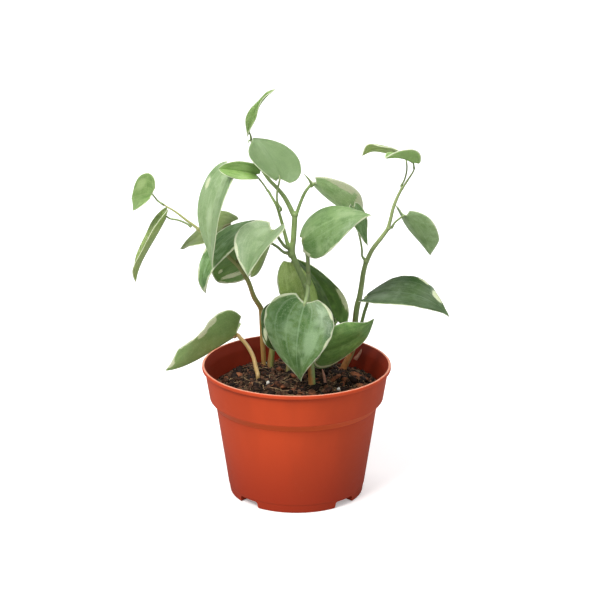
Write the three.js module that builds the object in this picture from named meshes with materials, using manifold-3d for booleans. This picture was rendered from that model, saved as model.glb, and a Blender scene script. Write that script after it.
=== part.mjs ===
// Potted peperomia: a nursery pot, its soil, three rooted shoots, two cut stem bases and the leaves.
// Millimetres. +Z is up, the pot stands on z = 0 with its axis on the Z axis, and its front faces -Y.
import * as THREE from "three";
import { mergeVertices } from "three/addons/utils/BufferGeometryUtils.js";
import Module from "manifold-3d";

// Pot: radii and heights of the outside, then the wall.
const POT_HEIGHT = 72;
const FOOT_RADIUS = 36.5;
const WALL_TOP_RADIUS = 43.7;
const WALL_TOP_Z = 49.5;
const COLLAR_BOTTOM_RADIUS = 47.0;
const COLLAR_BOTTOM_Z = 53.6;
const COLLAR_TOP_RADIUS = 49.6;
const LIP_BOTTOM_Z = 69.8;
const LIP_RADIUS = 51;
const WALL = 1.4;
const FLOOR = 1.8;
const POT_SIDES = 44;

// Four drain notches in the foot, on the diagonals, each under a small raised pocket of the floor.
const NOTCH_WIDTH = 12.6;
const NOTCH_HEIGHT = 3.8;
const NOTCH_DEPTH = 6;
const POCKET_WALL = 1.4;
const DRAIN_SLOT = [2.4, 6, 4];

// Soil: its edge against the wall, its middle, and how far its lumps rise and fall.
const SEAT_GAP = 0.3;
const SOIL_EDGE_Z = 57.6;
const SOIL_RISE = 4.4;
const SOIL_LUMP = 0.9;
const SOIL_RINGS = 10;

// Blades and stalks.
const BLADE_THICKNESS = 0.7;
const NARROWEST = 0.45;
const STALK_INTO_BLADE = 1.6;

// Half width of a blade along its length, as a share of its widest half.
const HEART = [
  [0, 0.3], [0.03, 0.55], [0.08, 0.74], [0.16, 0.9], [0.26, 0.985], [0.36, 1], [0.47, 0.94],
  [0.6, 0.79], [0.73, 0.57], [0.85, 0.32], [0.93, 0.14], [0.97, 0.06], [1, 0],
];
const BROAD = [
  [0, 0.5], [0.03, 0.74], [0.08, 0.9], [0.16, 0.98], [0.26, 1], [0.36, 0.97], [0.47, 0.9],
  [0.6, 0.75], [0.73, 0.55], [0.85, 0.32], [0.93, 0.16], [0.97, 0.08], [1, 0],
];
const TAILED = [
  [0, 0.34], [0.03, 0.47], [0.1, 0.64], [0.2, 0.81], [0.34, 0.95], [0.48, 1], [0.6, 0.94],
  [0.7, 0.77], [0.79, 0.52], [0.86, 0.29], [0.92, 0.13], [0.97, 0.06], [1, 0],
];
const OVAL = [
  [0, 0.22], [0.03, 0.4], [0.08, 0.56], [0.16, 0.77], [0.27, 0.93], [0.39, 1], [0.51, 0.98],
  [0.63, 0.87], [0.75, 0.67], [0.86, 0.41], [0.93, 0.22], [0.97, 0.1], [1, 0],
];
const OUTLINES = { heart: HEART, broad: BROAD, tailed: TAILED, oval: OVAL };

// Where the rows of a blade lie along its length, and its columns across each half.
const ROWS = [0, 0.05, 0.14, 0.27, 0.42, 0.58, 0.74, 0.88, 1];
const COLUMNS = [-1, -0.64, -0.3, 0, 0.3, 0.64, 1];
const MIDRIB_STEPS = 28;

// Stems: each is one or more runs through its points, from the soil up, with the radius at both ends.
const STEMS = [
  {
    name: "stem_main",
    colour: "#7d9455",
    runs: [
      {
        radii: [2, 1.5],
        points: [
          [8.7, -8, 45.2], [8.3, -8, 61.9], [7.4, -5, 81.3], [6.6, -2, 97.3], [5.9, 0, 107.9],
          [4.8, 0.5, 116.1], [0.8, 1.5, 125.3], [-2.2, 2.5, 133.3], [-1.6, 3, 141.4], [-0.8, 4, 154.4],
        ],
      },
      {
        radii: [1.4, 0.6],
        points: [
          [-1, 4, 152.7], [-6.1, 6, 162.6], [-10.3, 8.5, 167.4], [-15.1, 12, 171.7],
          [-20.2, 15.5, 179.3], [-23.3, 17, 187.1], [-24, 17, 192.5],
        ],
      },
      {
        radii: [1, 0.8],
        points: [
          [-0.5, 4, 153], [2, 5, 160.1], [4.3, 5.6, 165.4], [6.3, 6, 168.3], [7.8, 6.2, 169.9],
        ],
      },
      {
        radii: [0.75, 0.4],
        points: [
          [8.1, 6.2, 168.8], [6.8, 4.4, 172.5], [5, 3, 175.3],
        ],
      },
      {
        radii: [1.15, 0.7],
        points: [
          [-2.4, 2.2, 131.7], [-4.6, 2.6, 137.7], [-6, 2.2, 143.3], [-8.4, -0.6, 153.4],
          [-10.6, -4.2, 161.5], [-13.3, -4, 166.3], [-14.8, -3.6, 169.1],
        ],
      },
      {
        radii: [0.45, 0.4],
        points: [
          [-24.1, 17, 191.4], [-25.2, 16.6, 191.2], [-25.3, 16.2, 190.2],
        ],
      },
    ],
    joints: [
      { at: [-0.8, 4, 154.1], radius: 1.9, stretch: 0.8 },
      { at: [-2.6, 2.4, 132.5], radius: 2.2, stretch: 1 },
      { at: [7.9, 6.2, 169.4], radius: 1.05, stretch: 1 },
      { at: [5.1, 0.5, 116.7], radius: 2.1, stretch: 1.1 },
    ],
  },
  {
    name: "stem_left",
    colour: "#8b8a5a",
    runs: [
      {
        radii: [1.35, 1.35],
        points: [
          [-18.2, 30, 44.3], [-18.2, 30, 59.7], [-18.3, 30, 63.3], [-18.8, 27, 76.1], [-19.3, 23, 93.6],
        ],
      },
      {
        radii: [1.5, 0.95],
        points: [
          [-19.1, 23.4, 91.2], [-19.4, 22.6, 95.5], [-23.1, 19, 103.5], [-26.2, 15.5, 113.7],
          [-30.4, 13.5, 121.7], [-36.8, 13, 128.5], [-43.7, 13, 135.2], [-49, 13, 140.8],
          [-52.7, 13.2, 143.5],
        ],
      },
      {
        radii: [0.85, 0.45],
        points: [
          [-51.7, 13.1, 143], [-58.6, 14, 148], [-65, 15, 152.8], [-70, 16, 155.6],
          [-71.9, 16.2, 156.9],
        ],
      },
    ],
    joints: [
      { at: [-19.2, 22.9, 93.9], radius: 1.6, stretch: 1.2 },
      { at: [-52.7, 13.2, 143.4], radius: 1.15, stretch: 1 },
      { at: [-71.2, 16.1, 156.2], radius: 0.75, stretch: 1 },
    ],
  },
  {
    name: "stem_right",
    colour: "#8a9260",
    runs: [
      {
        radii: [2.1, 1.35],
        points: [
          [25, 25, 45], [26, 25, 59.8], [28.2, 24.5, 65.2], [30.6, 24, 71.2], [32.1, 22, 80.7],
          [32.2, 21, 89.7], [33.2, 20, 98.6], [34.3, 19, 103.5], [35.3, 18, 110.7], [36.2, 16, 118.6],
          [37.6, 15, 125.1],
        ],
      },
      {
        radii: [1.3, 1.1],
        points: [
          [37.2, 15.3, 123.4], [40.6, 14, 131.6], [45.8, 13, 139.2], [49.2, 12, 144.4],
        ],
      },
      {
        radii: [1.05, 0.8],
        points: [
          [48.9, 12, 143.9], [50.2, 11.5, 149.6], [51.5, 11, 155.8], [53.9, 11, 162.4], [56, 11, 166.7],
        ],
      },
      {
        radii: [0.7, 0.45],
        points: [
          [55.7, 11, 165.9], [59.3, 10.5, 171.8], [61.4, 10, 175.4], [62.3, 9, 177.9],
        ],
      },
    ],
    joints: [
      { at: [37.5, 15, 124.9], radius: 1.65, stretch: 1.1 },
      { at: [49.2, 12, 144.4], radius: 1.4, stretch: 1 },
      { at: [56, 11, 166.7], radius: 1, stretch: 1.2 },
      { at: [30.3, 24, 70.7], radius: 2, stretch: 1 },
    ],
  },
  {
    name: "stub_left",
    colour: "#8c8f4c",
    runs: [
      {
        radii: [1.9, 1.7],
        points: [
          [-14.6, 25, 45.6], [-14.5, 25, 61.5], [-13.8, 24.5, 68.7], [-13.2, 24, 73.6],
        ],
      },
    ],
  },
  {
    name: "stub_middle",
    colour: "#a7a565",
    runs: [
      {
        radii: [1.5, 1.3],
        points: [
          [-4.7, 15, 46.4], [-4.7, 15, 61], [-4.4, 14.6, 66.1],
        ],
      },
    ],
  },
];

const COLOURS = { grown: "#84a076", young: "#7fa05a", shade: "#4d6b3c" };

// Leaves: base is where stalk and blade meet. heading (in plan, from +X) and rise are the direction of the
// midrib there; roll turns the blade about it. droop and curl bend the midrib down, evenly and towards the
// tip; sway bends it sideways and twist turns it. cup and fold shape the halves, skew makes them differ, and
// wave and phase raise the edges. lobe is how far the base reaches back. stalk runs from the stem.
const LEAVES = [
  {
    name: "leaf_top_bud",
    shape: "oval",
    tone: "young",
    base: [-25.2, 14.1, 197.1],
    heading: -62, rise: 64, roll: 100, length: 28.6, width: 7.8,
    droop: 33, curl: 26, sway: -5, twist: -32,
    cup: -15, fold: 24, skew: 8, wave: -1, phase: -115, lobe: 0.12,
    stalk: [[-24.1, 16.3, 192.8], [-24.3, 16, 194.1]],
    stalkRadius: 0.5,
  },
  {
    name: "leaf_top_round",
    base: [-8.8, -5.2, 175.9],
    heading: 118, rise: 38, roll: -160, length: 30.4, width: 31.9,
    droop: 1, curl: -20, sway: 10, twist: -23,
    cup: -26, fold: 0, skew: 1, wave: -0, phase: -117, lobe: 0.11,
    stalk: [[-8.6, -4, 158.5], [-8, -5.1, 159.4], [-9.9, -6, 163], [-10.1, -7, 169.2]],
    stalkRadius: 0.62,
  },
  {
    name: "leaf_upper_left",
    shape: "oval",
    tone: "young",
    base: [-21.4, -2.4, 177.2],
    heading: -134, rise: 25, roll: -61, length: 21.9, width: 12,
    droop: 59, curl: 29, sway: 5, twist: -30,
    cup: -3, fold: 37, skew: 5, wave: 1.1, phase: 40, lobe: 0.11,
    stalk: [[-15.3, -3.5, 169.3], [-17.3, -3, 172.3]],
    stalkRadius: 0.5,
  },
  {
    name: "leaf_long_hanging",
    base: [-36.4, 5.1, 177],
    heading: -137, rise: -47, roll: 11, length: 52.3, width: 32.7,
    droop: 65, curl: -29, sway: 0, twist: 17,
    cup: -1, fold: 9, skew: -4, wave: -0.4, phase: -42, lobe: 0.12,
    stalk: [[-19.5, 13.3, 176.4], [-23.5, 11.5, 177.5], [-30.9, 9, 176.8]],
    stalkRadius: 0.6,
  },
  {
    name: "leaf_left_backward",
    shape: "oval",
    tone: "young",
    base: [-35.9, 22.2, 143.9],
    heading: 158, rise: -15, roll: -36, length: 36.2, width: 23.9,
    droop: 43, curl: -27, sway: -11, twist: 12,
    cup: -6, fold: 11, skew: -8, wave: 0.9, phase: -87, lobe: 0.13,
    stalk: [[-41.8, 14, 135.2], [-40.9, 16.5, 138.7], [-39, 18, 143.3]],
    stalkRadius: 0.65,
  },
  {
    name: "leaf_left_broad",
    shape: "broad",
    base: [-24.4, 6.1, 147.1],
    heading: -167, rise: -22, roll: 7, length: 48.8, width: 21.7,
    droop: 41, curl: 57, sway: -13, twist: -42,
    cup: 9, fold: -2, skew: 5, wave: -0.9, phase: 109, lobe: 0.13,
    stalk: [[-31.8, 12.7, 125.8], [-28.7, 10.5, 132.6], [-25.6, 8, 141.7]],
    stalkRadius: 0.7,
  },
  {
    name: "leaf_left_under",
    tone: "shade",
    base: [-28, 15.1, 125.1],
    heading: 143, rise: -8, roll: 66, length: 26, width: 23.3,
    droop: 111, curl: 45, sway: 6, twist: 4,
    cup: -7, fold: 2, skew: -7, wave: -0.2, phase: -105, lobe: 0.13,
    stalk: [[-26.8, 15.1, 118.9], [-25.6, 15.5, 121.1]],
    stalkRadius: 0.7,
  },
  {
    name: "leaf_centre_left",
    base: [-12.3, -8.9, 148.9],
    heading: -133, rise: -31, roll: 7, length: 29.5, width: 32.9,
    droop: 23, curl: 13, sway: 0, twist: 14,
    cup: 17, fold: 15, skew: 11, wave: -0.3, phase: 13, lobe: 0.12,
    stalk: [[-5, 0.8, 136.9], [-6.3, -1.2, 138.2], [-8.4, -3, 141.5]],
    stalkRadius: 0.9,
  },
  {
    name: "leaf_centre_left_back",
    base: [-14.1, 2.4, 138.8],
    heading: -123, rise: -45, roll: -108, length: 23.5, width: 20.4,
    droop: -2, curl: 12, sway: 14, twist: 13,
    cup: -24, fold: -8, skew: -10, wave: -0, phase: -25, lobe: 0.14,
    stalk: [[-4.8, 1.4, 133.6], [-6.9, 0.5, 134.4], [-10.1, 1.2, 137]],
    stalkRadius: 0.85,
  },
  {
    name: "leaf_centre_right",
    base: [3.5, -6.9, 143.4],
    heading: -45, rise: 45, roll: 67, length: 43.2, width: 31.7,
    droop: 54, curl: 10, sway: 4, twist: -29,
    cup: -26, fold: -5, skew: -3, wave: 0.1, phase: -63, lobe: 0.1,
    stalk: [[6.3, -2.1, 118.2], [6.4, -2.6, 121], [6.1, -4.6, 128.2], [5.7, -6.6, 134.9]],
    stalkRadius: 1.2,
  },
  {
    name: "leaf_right_back",
    base: [9.7, 8, 170],
    heading: 31, rise: -40, roll: 173, length: 39.7, width: 32.7,
    droop: 3, curl: 3, sway: 4, twist: -21,
    cup: -27, fold: -6, skew: 0, wave: -0.1, phase: 24, lobe: 0.13,
    stalk: [[8.9, 7.1, 169.7]],
    stalkRadius: 0.7,
  },
  {
    name: "leaf_right_back_small",
    base: [30.1, 6, 157.7],
    heading: -32, rise: -67, roll: 20, length: 23.7, width: 11.4,
    droop: 29, curl: -12, sway: -24, twist: -21,
    cup: 14, fold: 7, skew: 4, wave: -0.3, phase: -48, lobe: 0.09,
    stalk: [
      [36.3, 15.1, 126.5],
      [35.4, 15.1, 127.8],
      [35.2, 14.8, 131.4],
      [34.3, 15.3, 136.8],
      [32.7, 16, 143.3],
    ],
    stalkRadius: 0.6,
  },
  {
    name: "leaf_front_heart",
    base: [4.5, -15.2, 111.2],
    heading: -134, rise: -65, roll: -31, length: 43.4, width: 40.5,
    droop: 33, curl: 3, sway: -15, twist: 49,
    cup: -21, fold: 15, skew: 5, wave: 0.4, phase: 36, lobe: 0.08,
    stalk: [[5.4, -2, 116.5], [5.9, -3.4, 116.2], [5.7, -8.6, 113.9]],
    stalkRadius: 1.15,
  },
  {
    name: "leaf_behind_stem",
    base: [-2.2, 7.4, 126.8],
    heading: -13, rise: -60, roll: 12, length: 41.9, width: 27.9,
    droop: 26, curl: 27, sway: 5, twist: 53,
    cup: -49, fold: -8, skew: -4, wave: -0.1, phase: -46, lobe: 0.08,
    stalk: [[-1.4, 3.9, 128.8]],
    stalkRadius: 0.8,
  },
  {
    name: "leaf_front_left_back",
    base: [-6.6, -2.4, 106.6],
    heading: -139, rise: -33, roll: 9, length: 32.5, width: 24.5,
    droop: 87, curl: 33, sway: 9, twist: -21,
    cup: -27, fold: 6, skew: 4, wave: -1.5, phase: 161, lobe: 0.1,
    stalk: [[3.9, -1.6, 104.5], [1.9, -2.2, 105.8]],
    stalkRadius: 0.75,
  },
  {
    name: "leaf_dark_back",
    tone: "shade",
    base: [22.1, 19.1, 89.6],
    heading: 132, rise: 67, roll: 80, length: 44, width: 31.4,
    droop: 43, curl: 7, sway: -10, twist: -2,
    cup: -16, fold: 8, skew: -2, wave: 0.5, phase: 42, lobe: 0.11,
    stalk: [[8, -1.5, 90.3], [10.5, 3, 89.9], [16, 12, 88.1]],
    stalkRadius: 0.8,
  },
  {
    name: "leaf_front_right_low",
    shape: "broad",
    tone: "shade",
    base: [13, -3.1, 79.3],
    heading: 14, rise: 9, roll: 120, length: 36.1, width: 33.7,
    droop: 20, curl: 27, sway: -17, twist: 8,
    cup: -39, fold: 10, skew: 5, wave: 0.9, phase: 29, lobe: 0.13,
    stalk: [[8.8, -3.5, 79.1], [9.8, -2, 78.6]],
    stalkRadius: 0.8,
  },
  {
    name: "leaf_right_long",
    shape: "tailed",
    base: [37.2, 8.2, 106.6],
    heading: -31, rise: 29, roll: 14, length: 51.6, width: 32,
    droop: 66, curl: 19, sway: -5, twist: 2,
    cup: 1, fold: 5, skew: 3, wave: -0.9, phase: -78, lobe: 0.03,
    stalk: [
      [31.8, 20.6, 74.8],
      [32.2, 19.2, 75.5],
      [32.9, 18.5, 80.1],
      [35.1, 15, 88.8],
      [36.8, 12, 97.2],
      [38.2, 9.5, 103.7],
    ],
    stalkRadius: 1.05,
  },
  {
    name: "leaf_right_upper",
    base: [57.7, 11.5, 151.5],
    heading: 51, rise: -51, roll: -173, length: 38.5, width: 28.3,
    droop: 13, curl: -12, sway: 4, twist: -4,
    cup: -25, fold: -10, skew: -2, wave: -0.7, phase: -31, lobe: 0.1,
    stalk: [[51.2, 12.5, 145], [52.3, 12, 147.2], [54.9, 11.4, 149.8]],
    stalkRadius: 0.6,
  },
  {
    name: "leaf_far_right_near",
    shape: "oval",
    tone: "young",
    base: [61.4, 7, 181.6],
    heading: -135, rise: 35, roll: -2, length: 21.6, width: 16.6,
    droop: 46, curl: -14, sway: 9, twist: 14,
    cup: 15, fold: 19, skew: -20, wave: 0.2, phase: 70, lobe: 0.14,
    stalk: [[62, 8.7, 178.4]],
    stalkRadius: 0.5,
  },
  {
    name: "leaf_far_right_far",
    shape: "oval",
    tone: "young",
    base: [57.6, 17, 182.6],
    heading: 143, rise: 21, roll: 25, length: 26.7, width: 19.4,
    droop: 35, curl: 49, sway: 1, twist: 10,
    cup: -18, fold: 10, skew: 7, wave: 1, phase: -21, lobe: 0.11,
    stalk: [[55.8, 12, 168], [57.4, 12, 171.4], [58.5, 12.8, 177.2]],
    stalkRadius: 0.5,
  },
  {
    name: "leaf_far_left_folded",
    shape: "oval",
    base: [-70.1, 16.1, 149.7],
    heading: -168, rise: -63, roll: 2, length: 40.9, width: 21,
    droop: -13, curl: 35, sway: 13, twist: 9,
    cup: 17, fold: 15, skew: -2, wave: -0.6, phase: -166, lobe: 0.12,
    stalk: [[-57, 12.6, 145.4], [-58, 12.8, 146.2], [-62.8, 13, 148.4], [-67.6, 14, 149.1]],
    stalkRadius: 0.55,
  },
  {
    name: "leaf_far_left_small",
    tone: "young",
    base: [-76.9, 13.7, 162.7],
    heading: 122, rise: -11, roll: -53, length: 22.5, width: 22.9,
    droop: 0, curl: 2, sway: -17, twist: -22,
    cup: 13, fold: 13, skew: 1, wave: -0.2, phase: -62, lobe: 0.12,
    stalk: [[-72, 15, 157.2], [-74.2, 15.6, 158.6]],
    stalkRadius: 0.5,
  },
  {
    name: "leaf_low_left",
    shape: "broad",
    base: [-33.4, 38.2, 75.4],
    heading: -160, rise: -26, roll: 34, length: 44.9, width: 39.3,
    droop: 6, curl: -34, sway: 7, twist: 5,
    cup: 23, fold: 25, skew: 2, wave: -1.9, phase: 161, lobe: 0.15,
    stalk: [
      [-20.5, 5, 46.6],
      [-20.9, 5, 60.6],
      [-21, 5, 63.5],
      [-21.8, 9.5, 64.7],
      [-23.5, 16, 69.4],
      [-25.6, 22.5, 71.6],
      [-28.2, 28.5, 73.5],
      [-30.8, 33, 74.7],
    ],
    stalkRadius: 1.3,
    rooted: true,
  },
];

const wasm = await Module();
wasm.setup();
const degrees = THREE.MathUtils.degToRad;

// A three.js geometry as a solid, and back.
function solidOf(geometry) {
  const bare = new THREE.BufferGeometry();
  bare.setAttribute("position", geometry.getAttribute("position").clone());
  if (geometry.index) bare.setIndex(geometry.index.clone());
  const merged = mergeVertices(bare, 1e-4);
  const mesh = new wasm.Mesh({
    numProp: 3,
    vertProperties: new Float32Array(merged.getAttribute("position").array),
    triVerts: new Uint32Array(merged.index.array),
  });
  return new wasm.Manifold(mesh);
}

function geometryOf(solid) {
  const mesh = solid.getMesh();
  const geometry = new THREE.BufferGeometry();
  geometry.setAttribute("position", new THREE.BufferAttribute(mesh.vertProperties, mesh.numProp));
  geometry.setIndex(new THREE.BufferAttribute(mesh.triVerts, 1));
  geometry.computeVertexNormals();
  return geometry;
}

// A solid turned about the Z axis from (radius, height) pairs.
function turned(profile, sides) {
  const points = profile.map(([radius, height]) => new THREE.Vector2(radius, height));
  const geometry = new THREE.LatheGeometry(points, sides);
  geometry.rotateX(Math.PI / 2);
  return geometry;
}

function block(size, centre, turn) {
  const geometry = new THREE.BoxGeometry(...size);
  geometry.translate(...centre);
  geometry.rotateZ(turn);
  return solidOf(geometry);
}

const wallRadius = (z) => {
  if (z <= WALL_TOP_Z) return FOOT_RADIUS + ((WALL_TOP_RADIUS - FOOT_RADIUS) * z) / WALL_TOP_Z;
  const rise = (z - COLLAR_BOTTOM_Z) / (LIP_BOTTOM_Z - COLLAR_BOTTOM_Z);
  return COLLAR_BOTTOM_RADIUS + (COLLAR_TOP_RADIUS - COLLAR_BOTTOM_RADIUS) * rise;
};

const notchTurns = [1, 3, 5, 7].map((n) => (n * Math.PI) / 4);
const notchOuter = FOOT_RADIUS + 3;
const notchInner = FOOT_RADIUS - NOTCH_DEPTH;

// The box of a drain notch, or of the pocket around it when it is grown.
function notchBox(turn, grow, bottom, reach) {
  const top = NOTCH_HEIGHT + grow;
  const inner = notchInner - grow;
  const size = [reach - inner, NOTCH_WIDTH + 2 * grow, top - bottom];
  return block(size, [(reach + inner) / 2, 0, (top + bottom) / 2], turn);
}

function makePot() {
  const inside = (z) => wallRadius(z) - WALL;
  const outline = [
    [0, 0], [FOOT_RADIUS - 0.9, 0], [wallRadius(0.9), 0.9],
    [wallRadius(WALL_TOP_Z), WALL_TOP_Z], [COLLAR_BOTTOM_RADIUS - 0.4, COLLAR_BOTTOM_Z - 0.6],
    [COLLAR_BOTTOM_RADIUS, COLLAR_BOTTOM_Z], [COLLAR_TOP_RADIUS, LIP_BOTTOM_Z],
    [LIP_RADIUS - 0.5, LIP_BOTTOM_Z + 0.1], [LIP_RADIUS, LIP_BOTTOM_Z + 0.7],
    [LIP_RADIUS, POT_HEIGHT - 0.6], [LIP_RADIUS - 0.6, POT_HEIGHT],
    [COLLAR_TOP_RADIUS - 0.4, POT_HEIGHT], [inside(LIP_BOTTOM_Z) + 0.1, POT_HEIGHT - 0.8],
    [inside(LIP_BOTTOM_Z), LIP_BOTTOM_Z], [inside(COLLAR_BOTTOM_Z), COLLAR_BOTTOM_Z + 0.6],
    [inside(WALL_TOP_Z), WALL_TOP_Z + 0.4], [inside(FLOOR), FLOOR], [0, FLOOR],
  ];
  let pot = solidOf(turned(outline, POT_SIDES));
  for (const turn of notchTurns) {
    pot = pot.add(notchBox(turn, POCKET_WALL, 0.8, FOOT_RADIUS - 0.8));
  }
  for (const turn of notchTurns) {
    pot = pot.subtract(notchBox(turn, 0, -1, notchOuter));
    const centre = [notchInner + NOTCH_DEPTH / 2, 0, NOTCH_HEIGHT + POCKET_WALL / 2];
    pot = pot.subtract(block(DRAIN_SLOT, centre, turn));
  }
  return pot;
}

// Height of the soil's top at a place, with its lumps.
function soilTop(x, y) {
  const edge = wallRadius(SOIL_EDGE_Z) - WALL - SEAT_GAP;
  const share = Math.min(1, Math.hypot(x, y) / edge);
  const lumps =
    Math.sin(0.21 * x + 1.3) * Math.cos(0.19 * y - 0.6) +
    0.6 * Math.sin(0.37 * x - 0.29 * y + 2.1) +
    0.4 * Math.cos(0.43 * x + 0.38 * y);
  return SOIL_EDGE_Z + SOIL_RISE * (1 - share ** 2) + SOIL_LUMP * lumps * (1 - share ** 4);
}

function makeSoil(holes) {
  const side = (z) => wallRadius(z) - WALL - SEAT_GAP;
  const edge = side(SOIL_EDGE_Z);
  const outline = [
    [0, FLOOR + SEAT_GAP], [side(FLOOR) - 0.2, FLOOR + SEAT_GAP],
    [side(WALL_TOP_Z), WALL_TOP_Z + 0.6], [side(COLLAR_BOTTOM_Z), COLLAR_BOTTOM_Z + 1],
  ];
  for (let ring = 0; ring <= SOIL_RINGS; ring += 1) {
    outline.push([edge * (1 - ring / SOIL_RINGS), SOIL_EDGE_Z]);
  }
  const geometry = turned(outline, POT_SIDES);
  const places = geometry.getAttribute("position");
  for (let i = 0; i < places.count; i += 1) {
    if (places.getZ(i) < SOIL_EDGE_Z - 0.1) continue;
    places.setZ(i, soilTop(places.getX(i), places.getY(i)));
  }
  let soil = solidOf(geometry);
  for (const turn of notchTurns) {
    soil = soil.subtract(notchBox(turn, POCKET_WALL + SEAT_GAP, 0, notchOuter));
  }
  for (const hole of holes) {
    soil = soil.subtract(hole);
  }
  return soil;
}

// A round stem along a smooth curve through its points, thinning evenly from one end to the other.
function stalk(points, startRadius, endRadius, sides, steps) {
  const curve = new THREE.CatmullRomCurve3(points.map((p) => new THREE.Vector3(...p)));
  const section = new THREE.Shape();
  for (let i = 0; i < sides; i += 1) {
    const angle = (2 * Math.PI * i) / sides;
    const corner = [startRadius * Math.cos(angle), startRadius * Math.sin(angle)];
    if (i === 0) section.moveTo(...corner);
    else section.lineTo(...corner);
  }
  const geometry = new THREE.ExtrudeGeometry(section, { steps, extrudePath: curve });
  const stations = curve.getSpacedPoints(steps);
  const places = geometry.getAttribute("position");
  const place = new THREE.Vector3();
  for (let i = 0; i < places.count; i += 1) {
    place.fromBufferAttribute(places, i);
    const gaps = stations.map((station) => station.distanceTo(place));
    const nearest = gaps.indexOf(Math.min(...gaps));
    const share = nearest / steps;
    const scale = 1 + (endRadius / startRadius - 1) * share;
    place.sub(stations[nearest]).multiplyScalar(scale).add(stations[nearest]);
    places.setXYZ(i, place.x, place.y, place.z);
  }
  return solidOf(geometry);
}

// A swollen joint or bud of a stem.
function swelling([x, y, z], radius, stretch) {
  const geometry = new THREE.SphereGeometry(radius, 7, 5);
  geometry.scale(1, 1, stretch);
  geometry.translate(x, y, z);
  return solidOf(geometry);
}

function makeStem(stem) {
  let solid = null;
  for (const run of stem.runs) {
    const sides = run.radii[0] > 1.25 ? 8 : 6;
    const piece = stalk(run.points, run.radii[0], run.radii[1], sides, run.points.length + 2);
    solid = solid ? solid.add(piece) : piece;
  }
  for (const joint of stem.joints ?? []) {
    solid = solid.add(swelling(joint.at, joint.radius, joint.stretch));
  }
  return solid;
}

// A smooth value between the pairs of a table.
function lookUp(table, t) {
  const last = table.length - 2;
  let i = 0;
  while (i < last && t >= table[i + 1][0]) i += 1;
  const slope = (k) => {
    const a = table[Math.max(0, k - 1)];
    const b = table[Math.min(table.length - 1, k + 1)];
    return (b[1] - a[1]) / (b[0] - a[0]);
  };
  const span = table[i + 1][0] - table[i][0];
  const u = (t - table[i][0]) / span;
  return (
    (1 + 2 * u) * (1 - u) ** 2 * table[i][1] +
    u * (1 - u) ** 2 * span * slope(i) +
    u * u * (3 - 2 * u) * table[i + 1][1] +
    u * u * (u - 1) * span * slope(i + 1)
  );
}

// The place, direction and upper side of a blade's midrib, step by step from its base to its tip.
function midrib(leaf) {
  const heading = degrees(leaf.heading);
  const rise = degrees(leaf.rise);
  const along = new THREE.Vector3(
    Math.cos(rise) * Math.cos(heading),
    Math.cos(rise) * Math.sin(heading),
    Math.sin(rise),
  );
  const upper = new THREE.Vector3(0, 0, 1).addScaledVector(along, -along.z).normalize();
  upper.applyAxisAngle(along, degrees(leaf.roll));
  const place = new THREE.Vector3(...leaf.base);
  const frames = [{ place: place.clone(), along: along.clone(), upper: upper.clone() }];
  const step = 1 / MIDRIB_STEPS;
  for (let i = 0; i < MIDRIB_STEPS; i += 1) {
    const t = (i + 0.5) * step;
    const side = new THREE.Vector3().crossVectors(along, upper);
    const bend = degrees(leaf.droop + leaf.curl * 3 * t * t) * step;
    const before = along.clone();
    along.applyAxisAngle(side, -bend);
    upper.applyAxisAngle(side, -bend);
    along.applyAxisAngle(upper, -degrees(leaf.sway) * step).normalize();
    upper.applyAxisAngle(along, degrees(leaf.twist) * step);
    upper.addScaledVector(along, -along.dot(upper)).normalize();
    place.addScaledVector(before.add(along), 0.5 * step * leaf.length);
    frames.push({ place: place.clone(), along: along.clone(), upper: upper.clone() });
  }
  return frames;
}

// A place on the blade's middle surface: t from base to tip, s from the left edge to the right.
function bladePlace(leaf, frames, t, s) {
  const k = Math.min(Math.floor(t * MIDRIB_STEPS), MIDRIB_STEPS - 1);
  const share = t * MIDRIB_STEPS - k;
  const place = frames[k].place.clone().lerp(frames[k + 1].place, share);
  const along = frames[k].along.clone().lerp(frames[k + 1].along, share).normalize();
  const upper = frames[k].upper.clone().lerp(frames[k + 1].upper, share);
  upper.addScaledVector(along, -along.dot(upper)).normalize();
  const side = new THREE.Vector3().crossVectors(along, upper);
  const outline = OUTLINES[leaf.shape ?? "heart"];
  const half = Math.max(NARROWEST, (leaf.width / 2) * lookUp(outline, t));
  const reach = Math.abs(s);
  const fold = degrees(leaf.fold);
  let cup = degrees(leaf.cup + (s > 0 ? leaf.skew : -leaf.skew));
  if (Math.abs(cup) < 1e-4) cup = 1e-4;
  const across = ((Math.sin(fold + cup * reach) - Math.sin(fold)) / cup) * half;
  let height = ((Math.cos(fold) - Math.cos(fold + cup * reach)) / cup) * half;
  const phase = degrees(leaf.phase) * (s > 0 ? 1 : -1);
  const wide = Math.min(1, half / (leaf.width / 4));
  height += leaf.wave * reach ** 2 * Math.sin(3 * Math.PI * t + phase) * wide;
  const back = leaf.lobe * leaf.length * reach ** 1.5 * (1 - t) ** 3;
  return place
    .addScaledVector(side, across * Math.sign(s))
    .addScaledVector(upper, height)
    .addScaledVector(along, -back);
}

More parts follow.
